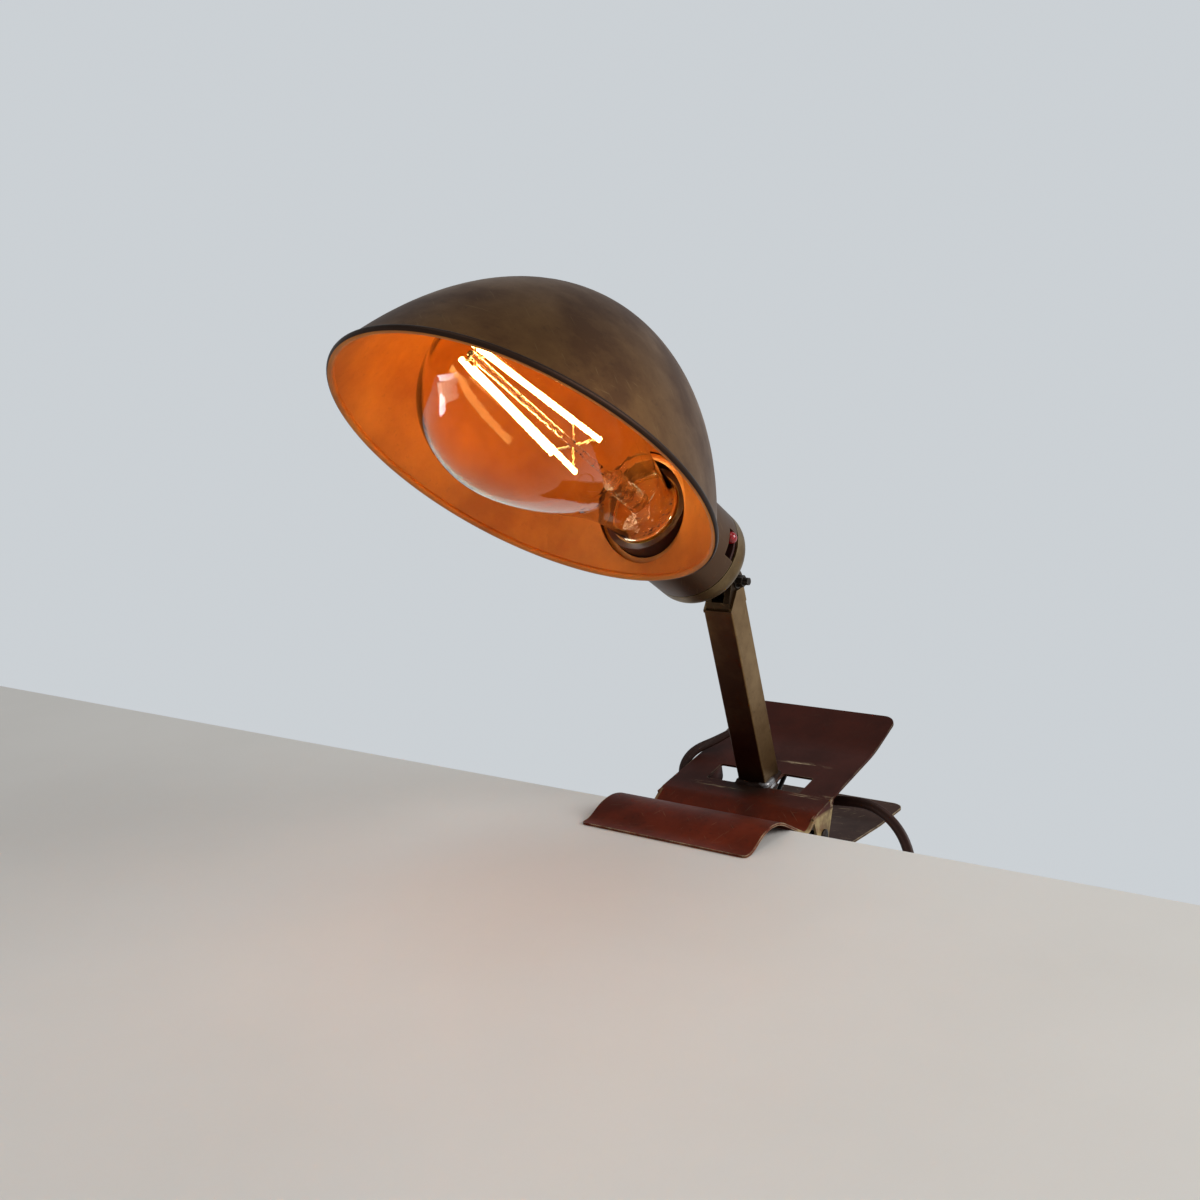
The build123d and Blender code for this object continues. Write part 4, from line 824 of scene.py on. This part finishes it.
# %% Glass and light
GLASS_IOR = 1.45
AMBER = ((1.0, 0.92, 0.70, 1.0), (1.0, 0.89, 0.62, 1.0))
CLEAR = ((1.0, 0.97, 0.90, 1.0), (1.0, 0.95, 0.84, 1.0))
STICK_TINTS = ((1.0, 0.66, 0.27, 1.0), (1.0, 0.59, 0.21, 1.0))
STICK_CLOUD = (0.3, 0.7)
STICK_GLOW = (13.0, 19.0)


def tinted_glass(name, first, second, shine):
    """Glass with an uneven tint, which lets light from inside out as if it weren't there."""
    material, tree, shader = new_material(
        name, roughness=0.0, Transmission_Weight=1.0, IOR=GLASS_IOR,
        Specular_Tint=(shine, shine, shine, 1.0))
    cloud = spread(tree, noise(tree, place_on(tree), scale=30.0), *SOFT_CLOUD)
    tint = mix_colour(tree, cloud, first, second)
    tree.links.new(tint, shader.inputs["Base Color"])
    rays = add_node(tree, "ShaderNodeLightPath").outputs
    lets_pass = math(tree, "MAXIMUM", rays["Is Shadow Ray"], rays["Is Diffuse Ray"])
    clear_way = add_node(tree, "ShaderNodeBsdfTransparent", {"Color": tint})
    both = add_node(tree, "ShaderNodeMixShader", {
        0: lets_pass, 1: shader.outputs[0], 2: clear_way.outputs[0],
    })
    tree.links.new(both.outputs[0], tree.nodes["Material Output"].inputs["Surface"])
    return material, tree, shader


amber_glass, _, _ = tinted_glass("amber_glass", *AMBER, shine=0.2)
clear_glass, tree, shader = tinted_glass("clear_glass", *CLEAR, shine=1.0)
stem_lumps = noise(tree, place_on(tree), scale=320.0, detail=2.0)
bump(tree, shader, stem_lumps, strength=0.8, distance=1.0 * MM)
lit_stick, tree, shader = new_material("lit_stick")
stick_cloud = noise(tree, place_on(tree), scale=600.0)
stick_tint = mix_colour(tree, stick_cloud, *STICK_TINTS)
tree.links.new(stick_tint, shader.inputs["Base Color"])
tree.links.new(stick_tint, shader.inputs["Emission Color"])
tree.links.new(spread(tree, stick_cloud, *STICK_CLOUD, *STICK_GLOW), shader.inputs["Emission Strength"])
dress(amber_glass, "bulb_glass")
dress(clear_glass, "bulb_stem")
dress(lit_stick, "filament_sticks")

# %% [markdown]
# ## Stage finish
# The board stays plain and pale, so that nothing draws the eye from the lamp. A faint cloud
# keeps it from looking like plastic.

# %% Stage finish
board_finish, tree, shader = new_material("board_finish", roughness=0.55)
board_cloud = noise(tree, place_on(tree), scale=9.0)
board_tint = mix_colour(tree, board_cloud, rgb(214, 211, 205), rgb(204, 200, 193))
tree.links.new(board_tint, shader.inputs["Base Color"])
board.data.materials.append(board_finish)
print("materials:", len(bpy.data.materials))

# %% [markdown]
# ## Modelling by hand
# The rest of the new pieces start from a primitive and are shaped in edit mode. An operator
# acts on whatever is selected, so a small helper picks faces by their place or by the way
# they look, and another picks edges by their ends. The last ones end each piece: rounded
# edges, outward faces, its place in its mesh, and its body.

# %% Modelling helpers
SHARP_ABOVE = radians(35)
FACING = 0.9


def pick_faces(piece, wanted):
    """Select, in edit mode, only the faces that pass a test of centre and normal."""
    only_this(piece)
    bpy.context.tool_settings.mesh_select_mode = (False, False, True)
    for part in (*piece.data.vertices, *piece.data.edges):
        part.select = False
    for face in piece.data.polygons:
        face.select = wanted(face.center, face.normal)
    bpy.ops.object.mode_set(mode="EDIT")


def pick_edges(piece, wanted):
    """Select, in edit mode, only the edges whose two ends pass a test."""
    pick_faces(piece, lambda centre, normal: False)
    bpy.ops.object.mode_set(mode="OBJECT")
    bpy.context.tool_settings.mesh_select_mode = (False, True, False)
    for edge in piece.data.edges:
        edge.select = wanted(*(piece.data.vertices[index].co for index in edge.vertices))
    bpy.ops.object.mode_set(mode="EDIT")


def extrude_by(x, y, z):
    """Extrude what is selected and move it."""
    bpy.ops.mesh.extrude_region_move(TRANSFORM_OT_translate={"value": (x, y, z)})


def end_piece(piece, name, round_by, segments=2, smooth_below=40.0):
    """Round the sharp edges, face everything outwards and smooth the gentle bends."""
    only_this(piece)
    bpy.ops.object.mode_set(mode="EDIT")
    bpy.ops.mesh.select_all(action="SELECT")
    bpy.ops.mesh.remove_doubles(threshold=1e-6)
    bpy.ops.mesh.normals_make_consistent(inside=False)
    bpy.ops.object.mode_set(mode="OBJECT")
    if round_by:
        soft = piece.modifiers.new("soft_edges", "BEVEL")
        soft.width = round_by
        soft.segments = segments
        soft.limit_method = "ANGLE"
        soft.angle_limit = SHARP_ABOVE
        bpy.ops.object.modifier_apply(modifier="soft_edges")
    bpy.ops.object.shade_smooth_by_angle(angle=radians(smooth_below))
    piece.name = name
    piece.data.name = name
    print(f"{name}: {len(piece.data.polygons)} faces")


def set_in(piece, place):
    """Carry a piece that was modelled at the origin to its place, and keep that in its mesh."""
    only_this(piece)
    piece.matrix_world = place
    bpy.ops.object.transform_apply(location=True, rotation=True, scale=True)


def hand_over(piece, body, slot, material, *nodes):
    """Give a finished piece its material, its body and the nodes it stands for."""
    piece.data.materials.clear()
    piece.data.materials.append(material)
    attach(piece, body)
    if nodes:
        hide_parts(*nodes)


# %% [markdown]
# ## Neck plate
# Where the socket comes through the shade, a thin brass washer fills the ring between the
# two. It lies in the plane of the hole, which is tilted, because the dome leans over the
# neck. A disc is inset on both sides and bridged to a ring, drawn out to fit, and tilted.

# %% Neck plate
HOLE_RADIUS = 18.45 * MM
RING_RADIUS = 16.3 * MM
PLATE_THICK = 0.8 * MM
RING_SIDES = 96
HOLE_AHEAD = 65.4 * MM
HOLE_TILT = radians(21.3)
HEAD_FRAME = Matrix.Translation(PIVOT) @ Matrix((X_WAY, HEAD_UP, HEAD_WAY)).transposed().to_4x4()

bpy.ops.object.select_all(action="DESELECT")
bpy.ops.mesh.primitive_cylinder_add(vertices=RING_SIDES, radius=HOLE_RADIUS, depth=PLATE_THICK)
neck_plate = bpy.context.object
pick_faces(neck_plate, lambda centre, normal: abs(normal.z) > FACING)
bpy.ops.mesh.inset(thickness=HOLE_RADIUS - RING_RADIUS, use_individual=True)
bpy.ops.mesh.bridge_edge_loops()
bpy.ops.mesh.select_all(action="SELECT")
bpy.ops.transform.resize(value=(1.0, 1 / cos(HOLE_TILT), 1.0), center_override=(0.0, 0.0, 0.0))
end_piece(neck_plate, "neck_plate", round_by=0.12 * MM)
hole_frame = HEAD_FRAME @ Matrix.Translation((0, 0, HOLE_AHEAD)) @ Matrix.Rotation(HOLE_TILT, 4, "X")
set_in(neck_plate, hole_frame)
hand_over(neck_plate, "head", "inner_brass", satin_brass_glow)

# %% [markdown]
# ## Bulb seat
# Behind the clear stem a crowned disc closes the bulb's brass base, and shines gold in its
# light. A flat disc would do, but the crown gives the glass in front something to bend.

# %% Bulb seat
SEAT_RADIUS = 12.0 * MM
SEAT_THICK = 0.8 * MM
SEAT_CROWN = 0.5 * MM
SEAT_RINGS = 3
SEAT_SIDES = 64
SEAT_AHEAD = 66.4 * MM

bpy.ops.object.select_all(action="DESELECT")
bpy.ops.mesh.primitive_cylinder_add(vertices=SEAT_SIDES, radius=SEAT_RADIUS, depth=SEAT_THICK)
bulb_seat = bpy.context.object
pick_faces(bulb_seat, lambda centre, normal: normal.z > FACING)
for ring in range(SEAT_RINGS):
    bpy.ops.mesh.inset(thickness=SEAT_RADIUS / (SEAT_RINGS + 1))
    bpy.ops.transform.translate(value=(0.0, 0.0, SEAT_CROWN / (2 * ring + 2)))
end_piece(bulb_seat, "bulb_seat", round_by=0.1 * MM)
set_in(bulb_seat, HEAD_FRAME @ Matrix.Translation((0, 0, SEAT_AHEAD - SEAT_THICK)))
hand_over(bulb_seat, "bulb", "inner_brass", satin_brass_glow)

# %% [markdown]
# ## Jaw spring
# The spring is wound round the hinge pin, with one leg on each jaw. When the clip opens, its
# legs turn with the jaws and the curls between them wind up. The CAD mesh is copied and
# joined up.

# %% Jaw spring
twist_spring = bpy.data.objects.new("twist_spring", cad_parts["jaw_spring"].data.copy())
bpy.context.scene.collection.objects.link(twist_spring)
end_piece(twist_spring, "twist_spring", round_by=0.0)
twist_spring.data.materials.clear()
twist_spring.data.materials.append(spring_steel)
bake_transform(twist_spring)
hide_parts("jaw_spring")

# %% [markdown]
# ## Window tabs
# The plate's two windows were not cut out: their sheet was slit on three sides and bent down
# along the outer edge, and these short tabs stiffen the plate. One is a cube drawn out to the
# tab's size, with its lower corners rounded, and the other is a copy on the far side.

# %% Window tabs
TAB_SIZE = Vector((1.0, 13.5, 7.2)) * MM
TAB_OUT = 22.5 * MM
TAB_DROP = 4.2 * MM
TAB_CORNER = 2.5 * MM
TAB_CORNER_STEPS = 6
PLATE_SLOPE = radians(12.0)
PLATE_FRAME = Matrix.Translation(ARM_FOOT) @ Matrix.Rotation(PLATE_SLOPE, 4, "X")

bpy.ops.object.select_all(action="DESELECT")
bpy.ops.mesh.primitive_cube_add(size=1.0)
left_tab = bpy.context.object
pick_faces(left_tab, lambda centre, normal: True)
bpy.ops.transform.resize(value=tuple(TAB_SIZE), center_override=(0.0, 0.0, 0.0))
pick_edges(left_tab, lambda one, other: one.z < 0 and other.z < 0 and one.y * other.y > 0)
bpy.ops.mesh.bevel(offset=TAB_CORNER, segments=TAB_CORNER_STEPS)
end_piece(left_tab, "window_tab_left", round_by=0.2 * MM)
right_tab = bpy.data.objects.new("window_tab_right", left_tab.data.copy())
bpy.context.scene.collection.objects.link(right_tab)
for tab, side in ((left_tab, -1), (right_tab, 1)):
    set_in(tab, PLATE_FRAME @ Matrix.Translation((side * TAB_OUT, 0.0, -TAB_DROP)))
    hand_over(tab, "clip", "clip_paint", clip_paint)


# %% [markdown]
# ## Solder at the arm's foot
# The arm stands in an untidy fillet of soft solder. A block with rounded edges is divided and
# pushed about by a cloud texture, so that it looks melted. The arm and the plate hide its core.

# %% Solder
SOLDER_SIDE = 17.6 * MM
SOLDER_DEEP = 3.6 * MM
SOLDER_TAPER = (0.84, 0.84, 1.0)
LUMP_SIZE = 5.0 * MM
LUMP_DEEP = 2.0 * MM
LUMP_LEVEL = 0.6
SOLDER_CUTS = 3
MELT_LEVELS = 2

bpy.ops.object.select_all(action="DESELECT")
bpy.ops.mesh.primitive_cube_add(size=1.0)
blob = bpy.context.object
blob.scale = (SOLDER_SIDE, SOLDER_SIDE, SOLDER_DEEP)
bpy.ops.object.transform_apply(scale=True)
pick_faces(blob, lambda centre, normal: normal.z > FACING)
bpy.ops.transform.resize(value=SOLDER_TAPER)
bpy.ops.mesh.select_all(action="SELECT")
bpy.ops.mesh.subdivide(number_cuts=SOLDER_CUTS)
bpy.ops.object.mode_set(mode="OBJECT")
melt = blob.modifiers.new("melt", "SUBSURF")
melt.levels = MELT_LEVELS
melt.render_levels = MELT_LEVELS
bpy.ops.object.modifier_apply(modifier="melt")
lump_clouds = bpy.data.textures.new("solder_lumps", "CLOUDS")
lump_clouds.noise_scale = LUMP_SIZE
lumps = blob.modifiers.new("lumps", "DISPLACE")
lumps.texture = lump_clouds
lumps.texture_coords = "LOCAL"
lumps.strength = LUMP_DEEP
lumps.mid_level = LUMP_LEVEL
bpy.ops.object.modifier_apply(modifier="lumps")
end_piece(blob, "foot_bead", round_by=0.0, smooth_below=180.0)
set_in(blob, PLATE_FRAME)
hand_over(blob, "clip", "solder", solder, "foot_solder")

# %% [markdown]
# ## Plug
# The plug is an old moulded two-pin one with a waist to grip. A block is drawn up to a narrow
# neck, its broad faces are sunk a little, and all edges are rounded.

# %% Plug
PLUG_NECK = (0.50, 0.70, 1.0)
PLUG_COLLAR = 2 * MM
GRIP_BORDER = 2.4 * MM
GRIP_SLOPE = 0.5 * MM
GRIP_SINK = 0.7 * MM
PLUG_LOW, PLUG_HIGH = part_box("plug_body")
plug_middle = (PLUG_LOW + PLUG_HIGH) / 2
plug_size = PLUG_HIGH - PLUG_LOW

bpy.ops.object.select_all(action="DESELECT")
bpy.ops.mesh.primitive_cube_add(
    size=1.0, location=(plug_middle.x, plug_middle.y, PLUG_LOW.z + plug_size.z / 4))
plug = bpy.context.object
plug.scale = (plug_size.x, plug_size.y, plug_size.z / 2)
bpy.ops.object.transform_apply(location=True, scale=True)
pick_faces(plug, lambda centre, normal: normal.z > FACING)
extrude_by(0.0, 0.0, plug_size.z / 2 - PLUG_COLLAR)
bpy.ops.transform.resize(value=PLUG_NECK, center_override=(plug_middle.x, plug_middle.y, PLUG_HIGH.z))
extrude_by(0.0, 0.0, PLUG_COLLAR)
pick_faces(plug, lambda centre, normal: abs(normal.y) > FACING and centre.z < plug_middle.z)
bpy.ops.mesh.inset(thickness=GRIP_BORDER, use_individual=True)
bpy.ops.mesh.inset(thickness=GRIP_SLOPE, depth=-GRIP_SINK, use_individual=True)
end_piece(plug, "plug_moulding", round_by=1.1 * MM, segments=3)
hand_over(plug, "clip", "moulding", moulding, "plug_body")

# %% [markdown]
# ## Boot
# A short ribbed boot keeps the flex from kinking where it leaves the plug. A cone is cut into
# bands, and every second one is sunk to a groove.

# %% Boot
BOOT_LENGTH = 22.0 * MM
BOOT_WIDE = 4.4 * MM
BOOT_NARROW = 2.9 * MM
BOOT_RIBS = 6
BOOT_SIDES = 40
RIB_SLOPE = 0.15 * MM
RIB_SINK = 0.35 * MM

bpy.ops.object.select_all(action="DESELECT")
bpy.ops.mesh.primitive_cone_add(
    vertices=BOOT_SIDES, radius1=BOOT_WIDE, radius2=BOOT_NARROW, depth=BOOT_LENGTH,
    location=(plug_middle.x, plug_middle.y, PLUG_HIGH.z + BOOT_LENGTH / 2))
boot = bpy.context.object
bpy.ops.object.transform_apply(location=True)
rib_height = BOOT_LENGTH / (2 * BOOT_RIBS + 1)
bpy.ops.object.mode_set(mode="EDIT")
for step in range(1, 2 * BOOT_RIBS + 1):
    bpy.ops.mesh.select_all(action="SELECT")
    bpy.ops.mesh.bisect(
        plane_co=(plug_middle.x, plug_middle.y, PLUG_HIGH.z + step * rib_height), plane_no=(0, 0, 1))


def in_groove(centre, normal):
    """Every second band of the boot's side."""
    return abs(normal.z) < 0.5 and int((centre.z - PLUG_HIGH.z) / rib_height) % 2 == 1


pick_faces(boot, in_groove)
bpy.ops.mesh.inset(thickness=RIB_SLOPE, depth=-RIB_SINK)
end_piece(boot, "plug_boot", round_by=0.12 * MM)
hand_over(boot, "clip", "moulding", moulding)

# %% [markdown]
# ## Tie
# The put-away flex is held by a strap of brown tape. A block of the strap's size loses
# its two ends, gets rounded corners and a wall, and a raised patch where its ends lap.

# %% Tie
TIE_WALL = 0.8 * MM
TIE_CORNER = 2.2 * MM
TIE_CORNER_STEPS = 5
LAP_LENGTH = 9.0 * MM
LAP_TAPER = (0.94, 1.0, 0.86)
TIE_LOW, TIE_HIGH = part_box("cord_tie")
tie_middle = (TIE_LOW + TIE_HIGH) / 2
tie_size = TIE_HIGH - TIE_LOW

bpy.ops.object.select_all(action="DESELECT")
bpy.ops.mesh.primitive_cube_add(size=1.0, location=tie_middle)
tie = bpy.context.object
tie.scale = tie_size
bpy.ops.object.transform_apply(location=True, scale=True)
pick_faces(tie, lambda centre, normal: abs(normal.z) > FACING)
bpy.ops.mesh.delete(type="FACE")
bpy.ops.object.mode_set(mode="OBJECT")
corners = tie.modifiers.new("corners", "BEVEL")
corners.width = TIE_CORNER
corners.segments = TIE_CORNER_STEPS
bpy.ops.object.modifier_apply(modifier="corners")
wall = tie.modifiers.new("wall", "SOLIDIFY")
wall.thickness = TIE_WALL
wall.offset = -1.0
bpy.ops.object.modifier_apply(modifier="wall")
bpy.ops.object.mode_set(mode="EDIT")
for side in (-1, 1):
    bpy.ops.mesh.select_all(action="SELECT")
    bpy.ops.mesh.bisect(plane_co=tie_middle + side * LAP_LENGTH / 2 * X_WAY, plane_no=(1, 0, 0))


def in_lap(centre, normal):
    """The middle of the strap's front face."""
    in_front = normal.y > FACING and centre.y > TIE_HIGH.y - 0.1 * MM
    return in_front and abs(centre.x - tie_middle.x) < LAP_LENGTH / 3


pick_faces(tie, in_lap)
extrude_by(0.0, TIE_WALL, 0.0)
bpy.ops.transform.resize(value=LAP_TAPER)
end_piece(tie, "tape_tie", round_by=0.25 * MM)
hand_over(tie, "clip", "tie", flex, "cord_tie")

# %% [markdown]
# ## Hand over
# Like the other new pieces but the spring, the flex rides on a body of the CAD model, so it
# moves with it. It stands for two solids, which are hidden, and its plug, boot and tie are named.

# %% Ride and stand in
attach(twin_flex, "clip")
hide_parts("cord_run", "cord_coil")
bpy.context.view_layer.update()
